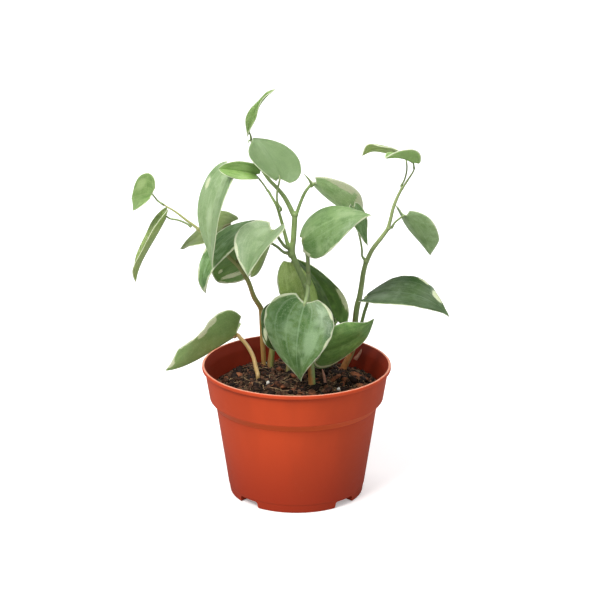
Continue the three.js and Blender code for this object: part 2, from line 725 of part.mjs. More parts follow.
// A thin closed blade: an upper and a lower face split into the same triangles, and the rim between.
function makeBlade(leaf, frames) {
  const middle = ROWS.map((t) => COLUMNS.map((s) => bladePlace(leaf, frames, t, s)));
  const rows = ROWS.length;
  const columns = COLUMNS.length;
  const positions = [];
  for (const face of [0.5, -0.5]) {
    for (let i = 0; i < rows; i += 1) {
      for (let j = 0; j < columns; j += 1) {
        const before = middle[Math.max(0, i - 1)][j];
        const after = middle[Math.min(rows - 1, i + 1)][j];
        const left = middle[i][Math.max(0, j - 1)];
        const right = middle[i][Math.min(columns - 1, j + 1)];
        const normal = new THREE.Vector3().subVectors(right, left);
        normal.cross(new THREE.Vector3().subVectors(after, before)).normalize();
        const corner = middle[i][j].clone().addScaledVector(normal, face * BLADE_THICKNESS);
        positions.push(corner.x, corner.y, corner.z);
      }
    }
  }
  const index = [];
  const lower = rows * columns;
  const at = (i, j) => i * columns + j;
  for (let i = 0; i < rows - 1; i += 1) {
    for (let j = 0; j < columns - 1; j += 1) {
      const [a, b, c, d] = [at(i, j), at(i, j + 1), at(i + 1, j + 1), at(i + 1, j)];
      index.push(a, b, c, a, c, d);
      index.push(lower + a, lower + c, lower + b, lower + a, lower + d, lower + c);
    }
  }
  const rim = [];
  for (let j = 0; j < columns - 1; j += 1) rim.push([at(0, j), at(0, j + 1)]);
  for (let i = 0; i < rows - 1; i += 1) rim.push([at(i, columns - 1), at(i + 1, columns - 1)]);
  for (let j = columns - 1; j > 0; j -= 1) rim.push([at(rows - 1, j), at(rows - 1, j - 1)]);
  for (let i = rows - 1; i > 0; i -= 1) rim.push([at(i, 0), at(i - 1, 0)]);
  for (const [a, b] of rim) {
    index.push(a, lower + a, b, b, lower + a, lower + b);
  }
  const geometry = new THREE.BufferGeometry();
  geometry.setAttribute("position", new THREE.Float32BufferAttribute(positions, 3));
  geometry.setIndex(index);
  return solidOf(geometry);
}

// One leaf: its blade, and its stalk, which ends inside the blade just past its base.
function makeLeaf(leaf) {
  const frames = midrib(leaf);
  const blade = makeBlade(leaf, frames);
  const base = frames[0];
  const inside = base.place.clone().addScaledVector(base.along, STALK_INTO_BLADE);
  const under = inside.addScaledVector(base.upper, -0.35);
  const points = [...leaf.stalk, leaf.base, under.toArray()];
  const steps = Math.round(leaf.stalk.length * 1.6) + 2;
  return blade.add(stalk(points, leaf.stalkRadius, leaf.stalkRadius * 0.85, 6, steps));
}

function piece(name, solid, colour, roughness) {
  const material = new THREE.MeshStandardMaterial({ color: colour, roughness, metalness: 0 });
  const mesh = new THREE.Mesh(geometryOf(solid), material);
  mesh.name = name;
  return mesh;
}

// A plain hole in the soil around the buried end of a stem.
function holeFor([foot, surface], radius) {
  const low = new THREE.Vector3(...foot);
  const high = new THREE.Vector3(...surface);
  const rise = high.clone().sub(low);
  const start = low.clone().addScaledVector(rise.clone().normalize(), -SEAT_GAP);
  const end = low.clone().addScaledVector(rise, 1.5);
  const wide = radius + SEAT_GAP + 0.15;
  return stalk([start.toArray(), end.toArray()], wide, wide, 8, 1);
}

const plant = new THREE.Group();
plant.name = "potted_peperomia";
const shoots = new THREE.Group();
shoots.name = "shoots";
const leaves = new THREE.Group();
leaves.name = "leaves";

const holes = [];
for (const stem of STEMS) {
  shoots.add(piece(stem.name, makeStem(stem), stem.colour, 0.55));
  holes.push(holeFor(stem.runs[0].points, stem.runs[0].radii[0]));
}
for (const leaf of LEAVES) {
  leaves.add(piece(leaf.name, makeLeaf(leaf), COLOURS[leaf.tone ?? "grown"], 0.45));
  if (leaf.rooted) holes.push(holeFor(leaf.stalk, leaf.stalkRadius));
}

plant.add(piece("pot", makePot(), "#b9462b", 0.5));
plant.add(piece("soil", makeSoil(holes), "#2b1d18", 0.95));
plant.add(shoots);
plant.add(leaves);

export default plant;
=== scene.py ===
"""Potted peperomia: the finished look of the plant, its pot and its soil.

Everything is in metres in the part's own frame; tables of places are in millimetres and go through MM.
"""

import math
from typing import NamedTuple

import bpy
import numpy as np
from bpy.props import FloatProperty, FloatVectorProperty, IntProperty, PointerProperty
from mathutils import Euler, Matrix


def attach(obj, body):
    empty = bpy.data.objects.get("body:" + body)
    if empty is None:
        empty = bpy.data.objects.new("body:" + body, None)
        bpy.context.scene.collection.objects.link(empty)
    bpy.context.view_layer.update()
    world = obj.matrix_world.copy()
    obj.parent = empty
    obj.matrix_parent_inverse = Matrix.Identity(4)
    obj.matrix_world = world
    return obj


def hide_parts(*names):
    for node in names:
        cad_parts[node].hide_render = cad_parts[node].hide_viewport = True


bl_info = {
    "name": "Potted Peperomia",
    "version": (1, 0, 0),
    "blender": (4, 5, 0),
    "location": "3D View > Sidebar > Peperomia",
    "description": "Builds a cream-edged peperomia in a nursery pot, piece by piece",
    "category": "Add Mesh",
}

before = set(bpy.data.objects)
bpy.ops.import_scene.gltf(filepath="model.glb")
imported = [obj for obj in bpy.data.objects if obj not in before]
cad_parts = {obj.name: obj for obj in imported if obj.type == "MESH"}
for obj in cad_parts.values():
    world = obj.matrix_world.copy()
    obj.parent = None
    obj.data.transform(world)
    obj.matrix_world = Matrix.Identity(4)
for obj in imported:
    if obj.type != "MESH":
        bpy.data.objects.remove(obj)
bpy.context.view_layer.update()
MM = 0.001


def tone(code):
    """A colour written as #rrggbb, as the linear values that Blender uses."""
    shares = [int(code[i : i + 2], 16) / 255 for i in (1, 3, 5)]
    return tuple(v / 12.92 if v <= 0.04045 else ((v + 0.055) / 1.055) ** 2.4 for v in shares)


# Pot, in millimetres: the same sizes as its solid, with the lip's top made narrower by a slope.
POT_HEIGHT = 72
FOOT_RADIUS = 36.5
WALL_TOP_RADIUS = 43.7
WALL_TOP_Z = 49.5
COLLAR_BOTTOM_RADIUS = 47.0
COLLAR_BOTTOM_Z = 53.6
COLLAR_TOP_RADIUS = 49.6
LIP_BOTTOM_Z = 69.8
LIP_RADIUS = 51
LIP_TOP = 1.3
FOOT_STEP = 0.3
FOOT_STEP_Z = 4.7
WALL = 1.4
FLOOR = 1.8
POT_SIDES = 176
POT_FACE_HEIGHT = 6
POT_SHARP_ANGLE = 40

# Drain notches of the foot: the wall of the pocket behind each, how far the pocket starts inside the foot,
# how far the cutting shape reaches past the foot and below it, and the slot's length, width and height.
NOTCH_TURNS = tuple(math.pi / 4 * k for k in (1, 3, 5, 7))
NOTCH_WIDTH = 12.6
NOTCH_HEIGHT = 3.8
NOTCH_DEPTH = 6
NOTCH_ROUNDING = 1.3
POCKET_WALL = 1.4
POCKET_INSET = 0.8
CUT_PAST = 3
CUT_BELOW = 1
DRAIN_SLOT = (2.4, 6, 4)

# Soil: its edge, its rise towards the middle, the height of its lumps, and the gap to the pot.
SOIL_EDGE_Z = 57.6
SOIL_RISE = 4.4
SOIL_LUMP = 0.9
SEAT_GAP = 0.3
SOIL_SIDES = 260
SOIL_RINGS = 84
SOIL_WALL_Z = (8, 20, 34, 48, 54.5)

# Round the drain notches the soil keeps off: below a height, and inwards, sideways and upwards.
NOTCH_ROOM_Z = 9
NOTCH_ROOM = (2.6, 2.4, 0.6)

# Where white beads and light chips lie in full view, as (x, y), and how far they are lifted.
BEAD_SPOTS = ((-15.4, -5), (22.5, -14))
BARK_SPOTS = ((-10.1, 5.5), (17, -19))
SPOT_LIFT = 0.9
BEADS = 7
FIBRE_POINTS = 7

# Blades: thickness in the middle and at the rim, and over what width it falls.
BLADE_THICKNESS = 0.7
RIM_THICKNESS = 0.26
RIM_TAPER = 1.1
TIP_HALF_WIDTH = 0.14
MIDRIB_STEPS = 28
ROWS = 54
COLUMNS = 15

# Veins: places as shares of the half width, dent in the top, height below and half width.
SIDE_VEINS = (0.34, 0.66)
VEIN_DENT = 0.1
VEIN_KEEL = 0.42
VEIN_WIDTH = 0.5

# Stalks run on under the blade and start inside the stem.
STALK_UNDER_BLADE = 1.6
STALK_IN_STEM = 0.5

# Tubes: the sides of each kind, and the rings of a domed end as shares of the radius in width and in rise.
STEM_SIDES = 16
STALK_SIDES = 10
FIBRE_SIDES = 5
DOMES = ((0.45, 0.9), (0.85, 0.5))

# Brightest cream of any leaf, how far the patterns of two leaves lie apart, and half a sheath's thickness.
PALEST = 0.86
SEED_STEP = 7.3
SHEATH_HALF = 0.09

# Half width of a blade along its length, as a share of its widest half.
OUTLINES = {
    "heart": (
        (0, 0.3), (0.03, 0.55), (0.08, 0.74), (0.16, 0.9), (0.26, 0.985), (0.36, 1), (0.47, 0.94),
        (0.6, 0.79), (0.73, 0.57), (0.85, 0.32), (0.93, 0.14), (0.97, 0.06), (1, 0),
    ),
    "broad": (
        (0, 0.5), (0.03, 0.74), (0.08, 0.9), (0.16, 0.98), (0.26, 1), (0.36, 0.97), (0.47, 0.9),
        (0.6, 0.75), (0.73, 0.55), (0.85, 0.32), (0.93, 0.16), (0.97, 0.08), (1, 0),
    ),
    "tailed": (
        (0, 0.34), (0.03, 0.47), (0.1, 0.64), (0.2, 0.81), (0.34, 0.95), (0.48, 1), (0.6, 0.94),
        (0.7, 0.77), (0.79, 0.52), (0.86, 0.29), (0.92, 0.13), (0.97, 0.06), (1, 0),
    ),
    "oval": (
        (0, 0.22), (0.03, 0.4), (0.08, 0.56), (0.16, 0.77), (0.27, 0.93), (0.39, 1), (0.51, 0.98),
        (0.63, 0.87), (0.75, 0.67), (0.86, 0.41), (0.93, 0.22), (0.97, 0.1), (1, 0),
    ),
}

# Each kind of blade: green, deeper green, light green and the green of its underside.
# The "light" kind is partly painted light: a paler green for blades that turn from the lamps.
TONES = {
    "grown": ("#65864d", "#3c6429", "#95b287", "#7f9d68"),
    "young": ("#789654", "#5a7c37", "#9cb479", "#8aa46c"),
    "shade": ("#52703a", "#36561f", "#7c965c", "#6c8652"),
    "deep": ("#4a702f", "#315618", "#6f9449", "#648452"),
    "olive": ("#74874e", "#566b34", "#98a672", "#8a9866"),
    "fresh": ("#86a86a", "#658d4d", "#abc592", "#92ae78"),
    "light": ("#8ba477", "#6e8c59", "#adc29a", "#94ab80"),
}

# Skins of the leaf stalks: green, tan, the heights between which tan turns to green, and a seed.
STALK_SKINS = {
    "green": ("#8ba068", "#94794c", -0.1, -0.05, 3),
    "olive": ("#8d8c5c", "#8a7046", -0.1, -0.05, 4),
    "pale": ("#98ad78", "#94794c", -0.1, -0.05, 5),
    "tan": ("#a99a66", "#b0925c", 0.075, 0.1, 6),
}

# Stems, in millimetres: green, tan and the heights, in metres, between which tan turns to green; runs of
# start radius, end radius and places from the soil up; joints of place, radius and stretch.
STEMS = {
    "stem_main": (
        "#92ab6a", "#c68a4a", 0.058, 0.082,
        (
            (
                2, 1.5, (8.7, -8, 45.2), (8.3, -8, 61.9), (7.4, -5, 81.3), (6.6, -2, 97.3), (5.9, 0, 107.9),
                (4.8, 0.5, 116.1), (0.8, 1.5, 125.3), (-2.2, 2.5, 133.3), (-1.6, 3, 141.4),
                (-0.8, 4, 154.4),
            ),
            (
                1.4, 0.6, (-1, 4, 152.7), (-6.1, 6, 162.6), (-10.3, 8.5, 167.4), (-15.1, 12, 171.7),
                (-20.2, 15.5, 179.3), (-23.3, 17, 187.1), (-24, 17, 192.5),
            ),
            (1, 0.8, (-0.5, 4, 153), (2, 5, 160.1), (4.3, 5.6, 165.4), (6.3, 6, 168.3), (7.8, 6.2, 169.9)),
            (0.75, 0.4, (8.1, 6.2, 168.8), (6.8, 4.4, 172.5), (5, 3, 175.3)),
            (
                1.15, 0.7, (-2.4, 2.2, 131.7), (-4.6, 2.6, 137.7), (-6, 2.2, 143.3), (-8.4, -0.6, 153.4),
                (-10.6, -4.2, 161.5), (-13.3, -4, 166.3), (-14.8, -3.6, 169.1),
            ),
            (0.45, 0.4, (-24.1, 17, 191.4), (-25.2, 16.6, 191.2), (-25.3, 16.2, 190.2)),
        ),
        (
            ((-0.8, 4, 154.1), 1.9, 0.8), ((-2.6, 2.4, 132.5), 2.2, 1), ((7.9, 6.2, 169.4), 1.05, 1),
            ((5.1, 0.5, 116.7), 2.1, 1.1),
        ),
    ),
    "stem_left": (
        "#b0b472", "#cfa661", 0.075, 0.125,
        (
            (
                1.35, 1.35, (-18.2, 30, 44.3), (-18.2, 30, 59.7), (-18.3, 30, 63.3), (-18.8, 27, 76.1),
                (-19.3, 23, 93.6),
            ),
            (
                1.5, 0.95, (-19.1, 23.4, 91.2), (-19.4, 22.6, 95.5), (-23.1, 19, 103.5),
                (-26.2, 15.5, 113.7), (-30.4, 13.5, 121.7), (-36.8, 13, 128.5), (-43.7, 13, 135.2),
                (-49, 13, 140.8), (-52.7, 13.2, 143.5),
            ),
            (
                0.85, 0.45, (-51.7, 13.1, 143), (-58.6, 14, 148), (-65, 15, 152.8), (-70, 16, 155.6),
                (-71.9, 16.2, 156.9),
            ),
        ),
        (((-19.2, 22.9, 93.9), 1.6, 1.2), ((-52.7, 13.2, 143.4), 1.15, 1), ((-71.2, 16.1, 156.2), 0.75, 1)),
    ),
    "stem_right": (
        "#a2b478", "#b87d47", 0.066, 0.09,
        (
            (
                2.1, 1.35, (25, 25, 45), (26, 25, 59.8), (28.2, 24.5, 65.2), (30.6, 24, 71.2),
                (32.1, 22, 80.7), (32.2, 21, 89.7), (33.2, 20, 98.6), (34.3, 19, 103.5), (35.3, 18, 110.7),
                (36.2, 16, 118.6), (37.6, 15, 125.1),
            ),
            (1.3, 1.1, (37.2, 15.3, 123.4), (40.6, 14, 131.6), (45.8, 13, 139.2), (49.2, 12, 144.4)),
            (
                1.05, 0.8, (48.9, 12, 143.9), (50.2, 11.5, 149.6), (51.5, 11, 155.8), (53.9, 11, 162.4),
                (56, 11, 166.7),
            ),
            (0.7, 0.45, (55.7, 11, 165.9), (59.3, 10.5, 171.8), (61.4, 10, 175.4), (62.3, 9, 177.9)),
        ),
        (
            ((37.5, 15, 124.9), 1.65, 1.1), ((49.2, 12, 144.4), 1.4, 1), ((56, 11, 166.7), 1, 1.2),
            ((30.3, 24, 70.7), 2, 1),
        ),
    ),
    "stub_left": (
        "#99a05a", "#a07c4a", 0.056, 0.066,
        ((1.9, 1.7, (-14.6, 25, 45.6), (-14.5, 25, 61.5), (-13.8, 24.5, 68.7), (-13.2, 24, 73.6)),),
        (),
    ),
    "stub_middle": (
        "#abac70", "#94834e", 0.05, 0.056,
        ((1.5, 1.3, (-4.7, 15, 46.4), (-4.7, 15, 61), (-4.4, 14.6, 66.1)),),
        (),
    ),
}

# Dry sheaths, in millimetres: places from the foot up, the width, and the curl in degrees.
SHEATHS = (
    (((-18.3, 28.4, 68.3), (-19, 28.2, 70.4), (-19.5, 28.4, 72.1), (-19.8, 28.8, 73.4)), 2.6, 70),
    (((15.5, -4.7, 61.2), (15.1, -5.1, 64.5), (14.5, -5.2, 67.7), (13.9, -4.8, 70.4)), 2.4, 60),
    (((32.3, 22.6, 65.9), (33.7, 22.4, 68), (35.1, 22.8, 70.2), (35.8, 23.6, 72)), 3.4, 75),
    (((30.5, 21.2, 70.8), (30, 21, 73.5), (29.4, 21.4, 75.4)), 2.2, 60),
)

class Leaf(NamedTuple):
    """One leaf, in millimetres and degrees."""

    base: tuple  # where stalk and blade meet
    turns: tuple  # heading in plan from +X, rise and roll
    size: tuple  # length, width, and how far the base reaches back, as a share of the length
    bends: tuple  # droop, curl, sway and twist of the midrib
    cup: tuple  # cup, fold and skew of the halves
    wave: tuple  # height and phase of the waves of the edges
    stalk: tuple  # from the stem up
    stalk_radius: float
    tone: str = "grown"
    outline: str = "heart"
    skin: str = "green"
    rooted: bool = False  # whether the stalk comes from the soil
    # bright is partly painted light: it scales the greens up for blades that face away from the lamps and
    # down for blades in full light.
    bright: float = 1.0
    ragged: float = 0.012
    margin: float = 1.0
    streaks: float = None  # these four: None is the usual strength
    veins: float = None
    mottle: float = None
    under: float = None
    patches: tuple = ()  # cream spots: place along and across, half length, half width and strength
    # The clouds are partly the blade's own tone and partly painted light: deeper green as painted shade where
    # the blade turns from the lamps, lighter as a painted highlight on its shiny parts.
    clouds: tuple = ()  # deeper green, laid out in the same way, or lighter where the strength is below zero


LEAVES = {
    "leaf_top_bud": Leaf(
        (-25.2, 14.1, 197.1), (-62, 64, 100), (28.6, 7.8, 0.12), (33, 26, -5, -32), (-15, 24, 8),
        (-1, -115), ((-24.1, 16.3, 192.8), (-24.3, 16, 194.1)), 0.5, tone="young", outline="oval",
        bright=1.08, margin=0.4,
    ),
    "leaf_top_round": Leaf(
        (-8.8, -5.2, 175.9), (118, 38, -160), (30.4, 31.9, 0.11), (1, -20, 10, -23), (-26, 0, 1), (0, -117),
        ((-8.6, -4, 158.5), (-8, -5.1, 159.4), (-9.9, -6, 163), (-10.1, -7, 169.2)), 0.62, tone="fresh",
        bright=0.71, margin=0.15, streaks=0.25, veins=0.25, mottle=0.6,
    ),
    "leaf_upper_left": Leaf(
        (-21.4, -2.4, 177.2), (-134, 25, -61), (21.9, 12, 0.11), (59, 29, 5, -30), (-3, 37, 5), (1.1, 40),
        ((-15.3, -3.5, 169.3), (-17.3, -3, 172.3)), 0.5, tone="young", outline="oval", bright=1.41,
        margin=0.12, streaks=0.4, mottle=0.5, clouds=((0.3, 0.83, 0.366, 0.26, 0.7),),
    ),
    "leaf_long_hanging": Leaf(
        (-36.4, 5.1, 177), (-137, -47, 11), (52.3, 32.7, 0.12), (65, -29, 0, 17), (-1, 9, -4), (-0.4, -42),
        ((-19.5, 13.3, 176.4), (-23.5, 11.5, 177.5), (-30.9, 9, 176.8)), 0.6, tone="light", bright=1.11,
        margin=0.45, veins=0.5, mottle=0.6, patches=((0.2, 0.75, 0.077, 0.15, 0.8),),
        clouds=(
            (0.2, -0.67, 0.23, 0.23, 1), (0.38, -0.83, 0.172, 0.15, 0.9), (0.1, 0.83, 0.057, 0.31, 0.7),
            (0.48, 0.17, 0.153, 0.2, -0.8),
        ),
    ),
    "leaf_left_backward": Leaf(
        (-35.9, 22.2, 143.9), (158, -15, -36), (36.2, 23.9, 0.13), (43, -27, -11, 12), (-6, 11, -8),
        (0.9, -87), ((-41.8, 14, 135.2), (-40.9, 16.5, 138.7), (-39, 18, 143.3)), 0.65, tone="olive",
        outline="oval", skin="olive", bright=1.1, margin=0.35, mottle=0.4,
    ),
    "leaf_left_broad": Leaf(
        (-24.4, 6.1, 147.1), (-167, -22, 7), (48.8, 21.7, 0.13), (41, 57, -13, -42), (9, -2, 5),
        (-0.9, 109), ((-31.8, 12.7, 125.8), (-28.7, 10.5, 132.6), (-25.6, 8, 141.7)), 0.7, outline="broad",
        skin="olive", bright=1.16, margin=1.6, veins=0.6,
        patches=((0.38, 1, 0.041, 0.12, 0.9), (0.75, 1, 0.072, 0.36, 0.95)),
        clouds=((0.85, -1, 0.082, 1.44, 1), (0.68, 0.92, 0.103, 0.58, -0.7)),
    ),
    "leaf_left_under": Leaf(
        (-28, 15.1, 125.1), (143, -8, 66), (26, 23.3, 0.13), (111, 45, 6, 4), (-7, 2, -7), (-0.2, -105),
        ((-26.8, 15.1, 118.9), (-25.6, 15.5, 121.1)), 0.7, tone="shade", skin="olive", bright=1.76,
        margin=1.3, veins=0.5, patches=((0.45, 0.58, 0.423, 0.18, 0.75), (0.62, 0.08, 0.096, 0.14, 0.9)),
    ),
    "leaf_centre_left": Leaf(
        (-12.3, -8.9, 148.9), (-133, -31, 7), (29.5, 32.9, 0.12), (23, 13, 0, 14), (17, 15, 11), (-0.3, 13),
        ((-5, 0.8, 136.9), (-6.3, -1.2, 138.2), (-8.4, -3, 141.5)), 0.9, tone="light", bright=0.94,
        margin=1.1, mottle=0.6, patches=((0.6, 1, 0.119, 0.19, 1.2), (0.9, 1, 0.085, 0.3, 0.95)),
        clouds=((0.73, 0.17, 0.271, 0.42, 0.7), (0.12, 0.33, 0.237, 0.29, -0.7)),
    ),
    "leaf_centre_left_back": Leaf(
        (-14.1, 2.4, 138.8), (-123, -45, -108), (23.5, 20.4, 0.14), (-2, 12, 14, 13), (-24, -8, -10),
        (0, -25), ((-4.8, 1.4, 133.6), (-6.9, 0.5, 134.4), (-10.1, 1.2, 137)), 0.85, tone="olive",
        bright=1.79, margin=0.5,
    ),
    "leaf_centre_right": Leaf(
        (3.5, -6.9, 143.4), (-45, 45, 67), (43.2, 31.7, 0.1), (54, 10, 4, -29), (-26, -5, -3), (0.1, -63),
        ((6.3, -2.1, 118.2), (6.4, -2.6, 121), (6.1, -4.6, 128.2), (5.7, -6.6, 134.9)), 1.2, tone="fresh",
        bright=0.77, margin=0.8, veins=0.4, mottle=0.8, patches=((0.02, 0.92, 0.07, 0.24, 1),),
        clouds=((0.1, 0.5, 0.162, 0.48, 1), (0.68, -0.17, 0.185, 0.38, -0.7)),
    ),
    "leaf_right_back": Leaf(
        (9.7, 8, 170), (31, -40, 173), (39.7, 32.7, 0.13), (3, 3, 4, -21), (-27, -6, 0), (-0.1, 24),
        ((8.9, 7.1, 169.7),), 0.7, tone="light", bright=1.73, margin=2.2,
        patches=((0.25, -0.92, 0.202, 0.25, 1.2), (0.68, -0.83, 0.151, 0.27, 1.2)),
        clouds=((0.2, -0.25, 0.151, 0.26, 0.7),),
    ),
    "leaf_right_back_small": Leaf(
        (30.1, 6, 157.7), (-32, -67, 20), (23.7, 11.4, 0.09), (29, -12, -24, -21), (14, 7, 4), (-0.3, -48),
        (
            (36.3, 15.1, 126.5), (35.4, 15.1, 127.8), (35.2, 14.8, 131.4), (34.3, 15.3, 136.8),
            (32.7, 16, 143.3),
        ),
        0.6, bright=0.98, margin=0.8,
    ),
    "leaf_front_heart": Leaf(
        (4.5, -15.2, 111.2), (-134, -65, -31), (43.4, 40.5, 0.08), (33, 3, -15, 49), (-21, 15, 5),
        (0.4, 36), ((5.4, -2, 116.5), (5.9, -3.4, 116.2), (5.7, -8.6, 113.9)), 1.15, skin="pale",
        bright=0.96, margin=1.2, veins=0.7, mottle=0.8, patches=((0.08, -1, 0.115, 0.14, 1),),
        clouds=(
            (0.18, 0.58, 0.3, 0.38, 0.75), (0.32, -0.92, 0.208, 0.22, 1), (0.73, -0.17, 0.161, 0.34, 0.9),
            (0.48, -0.5, 0.231, 0.29, -1.1), (0.43, 0.17, 0.161, 0.18, -0.6),
        ),
    ),
    "leaf_behind_stem": Leaf(
        (-2.2, 7.4, 126.8), (-13, -60, 12), (41.9, 27.9, 0.08), (26, 27, 5, 53), (-49, -8, -4), (-0.1, -46),
        ((-1.4, 3.9, 128.8),), 0.8, tone="olive", bright=2.4, margin=0.8, under=0.2,
    ),
    "leaf_front_left_back": Leaf(
        (-6.6, -2.4, 106.6), (-139, -33, 9), (32.5, 24.5, 0.1), (87, 33, 9, -21), (-27, 6, 4), (-1.5, 161),
        ((3.9, -1.6, 104.5), (1.9, -2.2, 105.8)), 0.75, tone="deep", bright=0.53, margin=1.6,
        patches=((0.62, 0.5, 0.123, 0.22, 1),),
    ),
    "leaf_dark_back": Leaf(
        (22.1, 19.1, 89.6), (132, 67, 80), (44, 31.4, 0.11), (43, 7, -10, -2), (-16, 8, -2), (0.5, 42),
        ((8, -1.5, 90.3), (10.5, 3, 89.9), (16, 12, 88.1)), 0.8, tone="deep", bright=1.25, margin=0.5,
        under=0, patches=((0.3, -0.92, 0.159, 0.25, 1.2),),
    ),
    "leaf_front_right_low": Leaf(
        (13, -3.1, 79.3), (14, 9, 120), (36.1, 33.7, 0.13), (20, 27, -17, 8), (-39, 10, 5), (0.9, 29),
        ((8.8, -3.5, 79.1), (9.8, -2, 78.6)), 0.8, tone="shade", outline="broad", bright=2.16, margin=0.35,
        veins=0.25, mottle=0.5, under=0.15, patches=((0.4, 0.83, 0.692, 0.08, 1.2),),
        clouds=((0.52, -0.25, 0.277, 0.49, 0.6),),
    ),
    "leaf_right_long": Leaf(
        (37.2, 8.2, 106.6), (-31, 29, 14), (51.6, 32, 0.03), (66, 19, -5, 2), (1, 5, 3), (-0.9, -78),
        (
            (31.8, 20.6, 74.8), (32.2, 19.2, 75.5), (32.9, 18.5, 80.1), (35.1, 15, 88.8), (36.8, 12, 97.2),
            (38.2, 9.5, 103.7),
        ),
        1.05, outline="tailed", bright=0.5, ragged=0.045, margin=0.4, veins=0.6, mottle=0.8,
        patches=((0.58, -1, 0.078, 0.16, 1.1), (0.78, -0.75, 0.078, 0.33, 1.15), (0, 0.25, 0.048, 0.37, 1)),
        clouds=((0.45, -0.75, 0.213, 0.25, 0.9), (0.22, 0.42, 0.155, 0.3, -0.9)),
    ),
    "leaf_right_upper": Leaf(
        (57.7, 11.5, 151.5), (51, -51, -173), (38.5, 28.3, 0.1), (13, -12, 4, -4), (-25, -10, -2),
        (-0.7, -31), ((51.2, 12.5, 145), (52.3, 12, 147.2), (54.9, 11.4, 149.8)), 0.6, tone="light",
        bright=1.3, margin=0.5, clouds=((0.6, -0.17, 0.156, 0.31, 0.8),),
    ),
    "leaf_far_right_near": Leaf(
        (61.4, 7, 181.6), (-135, 35, -2), (21.6, 16.6, 0.14), (46, -14, 9, 14), (15, 19, -20), (0.2, 70),
        ((62, 8.7, 178.4),), 0.5, tone="young", outline="oval", bright=1.4, margin=0.5,
    ),
    "leaf_far_right_far": Leaf(
        (57.6, 17, 182.6), (143, 21, 25), (26.7, 19.4, 0.11), (35, 49, 1, 10), (-18, 10, 7), (1, -21),
        ((55.8, 12, 168), (57.4, 12, 171.4), (58.5, 12.8, 177.2)), 0.5, tone="olive", outline="oval",
        bright=1.65, margin=0.5,
    ),
    "leaf_far_left_folded": Leaf(
        (-70.1, 16.1, 149.7), (-168, -63, 2), (40.9, 21, 0.12), (-13, 35, 13, 9), (17, 15, -2),
        (-0.6, -166), ((-57, 12.6, 145.4), (-58, 12.8, 146.2), (-62.8, 13, 148.4), (-67.6, 14, 149.1)),
        0.55, tone="olive", outline="oval", bright=1.64, margin=0.2,
    ),
    "leaf_far_left_small": Leaf(
        (-76.9, 13.7, 162.7), (122, -11, -53), (22.5, 22.9, 0.12), (0, 2, -17, -22), (13, 13, 1),
        (-0.2, -62), ((-72, 15, 157.2), (-74.2, 15.6, 158.6)), 0.5, tone="young", bright=1.12, margin=0.3,
        clouds=((0.52, 0.58, 0.222, 0.3, -1), (0.12, -0.17, 0.222, 0.26, 0.7)),
    ),
    "leaf_low_left": Leaf(
        (-33.4, 38.2, 75.4), (-160, -26, 34), (44.9, 39.3, 0.15), (6, -34, 7, 5), (23, 25, 2), (-1.9, 161),
        (
            (-20.5, 5, 46.6), (-20.9, 5, 60.6), (-21, 5, 63.5), (-21.8, 9.5, 64.7), (-23.5, 16, 69.4),
            (-25.6, 22.5, 71.6), (-28.2, 28.5, 73.5), (-30.8, 33, 74.7),
        ),
        1.3, tone="young", outline="broad", skin="tan", rooted=True, bright=1.13, ragged=0.035, margin=0.9,
        mottle=0.9,
        patches=(
            (0.25, -0.92, 0.067, 0.11, 1), (0.4, -0.92, 0.078, 0.17, 1.1), (0.9, -0.83, 0.067, 0.38, 1.05),
        ),
        clouds=(
            (0.08, -0.83, 0.178, 0.29, 0.9), (0.3, 0.25, 0.334, 0.15, 0.6), (0.75, -1, 0.134, 0.3, 0.9),
            (0.15, 0.92, 0.089, 0.16, -0.8), (0.52, -0.67, 0.089, 0.15, -0.7),
        ),
    ),
}


# ---------------------------------------------------------------- mesh helpers


def make_piece(name, places, faces, materials, node=None, slot=None, marks=None, parts=None):
    """A mesh object from places in metres. marks are values per vertex, parts a material number per face."""
    mesh = bpy.data.meshes.new(name)
    mesh.from_pydata([tuple(map(float, p)) for p in places], [], [tuple(map(int, f)) for f in faces])
    mesh.validate(clean_customdata=False)
    for material in materials:
        mesh.materials.append(material)
    for key, values in (marks or {}).items():
        set_mark(mesh, key, values)
    if parts is not None:
        mesh.polygons.foreach_set("material_index", np.asarray(parts, np.int32))
    mesh.polygons.foreach_set("use_smooth", np.ones(len(mesh.polygons), bool))
    mesh.update()
    piece = bpy.data.objects.new(name, mesh)
    bpy.context.scene.collection.objects.link(piece)
    if node or slot:
        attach(piece, "root")
        if node:
            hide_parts(node)
    return piece


def set_mark(mesh, key, values):
    """Keeps one value per vertex under a name that a material can read."""
    mesh.attributes.new(key, "FLOAT", "POINT").data.foreach_set("value", np.array(values, np.float32))


class Shell:
    """Collects closed shapes, in millimetres, into one piece."""

    def __init__(self):
        self.places, self.faces, self.marks, self.count = [], [], {}, 0

    def add(self, places, faces, **marks):
        """Adds a shape with its marks; a mark that it lacks is 0 on it."""
        self.places.append(places)
        self.faces += [tuple(int(i) + self.count for i in face) for face in faces]
        for key in marks:
            self.marks.setdefault(key, [np.zeros(self.count)])
        for key, values in self.marks.items():
            values.append(np.broadcast_to(marks.get(key, 0.0), len(places)))
        self.count += len(places)

    def make(self, name, materials, **given):
        """The piece of all shapes."""
        marks = {key: np.concatenate(values) for key, values in self.marks.items()}
        return make_piece(name, np.vstack(self.places) * MM, self.faces, materials, marks=marks, **given)


def unit(vectors):
    """Vectors scaled to length one."""
    return vectors / np.maximum(np.linalg.norm(vectors, axis=-1, keepdims=True), 1e-12)


def turn_about(vector, axis, angle):
    """A vector turned about a unit axis."""
    c, s = math.cos(angle), math.sin(angle)
    return vector * c + np.cross(axis, vector) * s + axis * np.dot(axis, vector) * (1 - c)


def all_round(sides):
    """Evenly spaced angles of a full turn."""
    return np.linspace(0, 2 * math.pi, sides, endpoint=False)


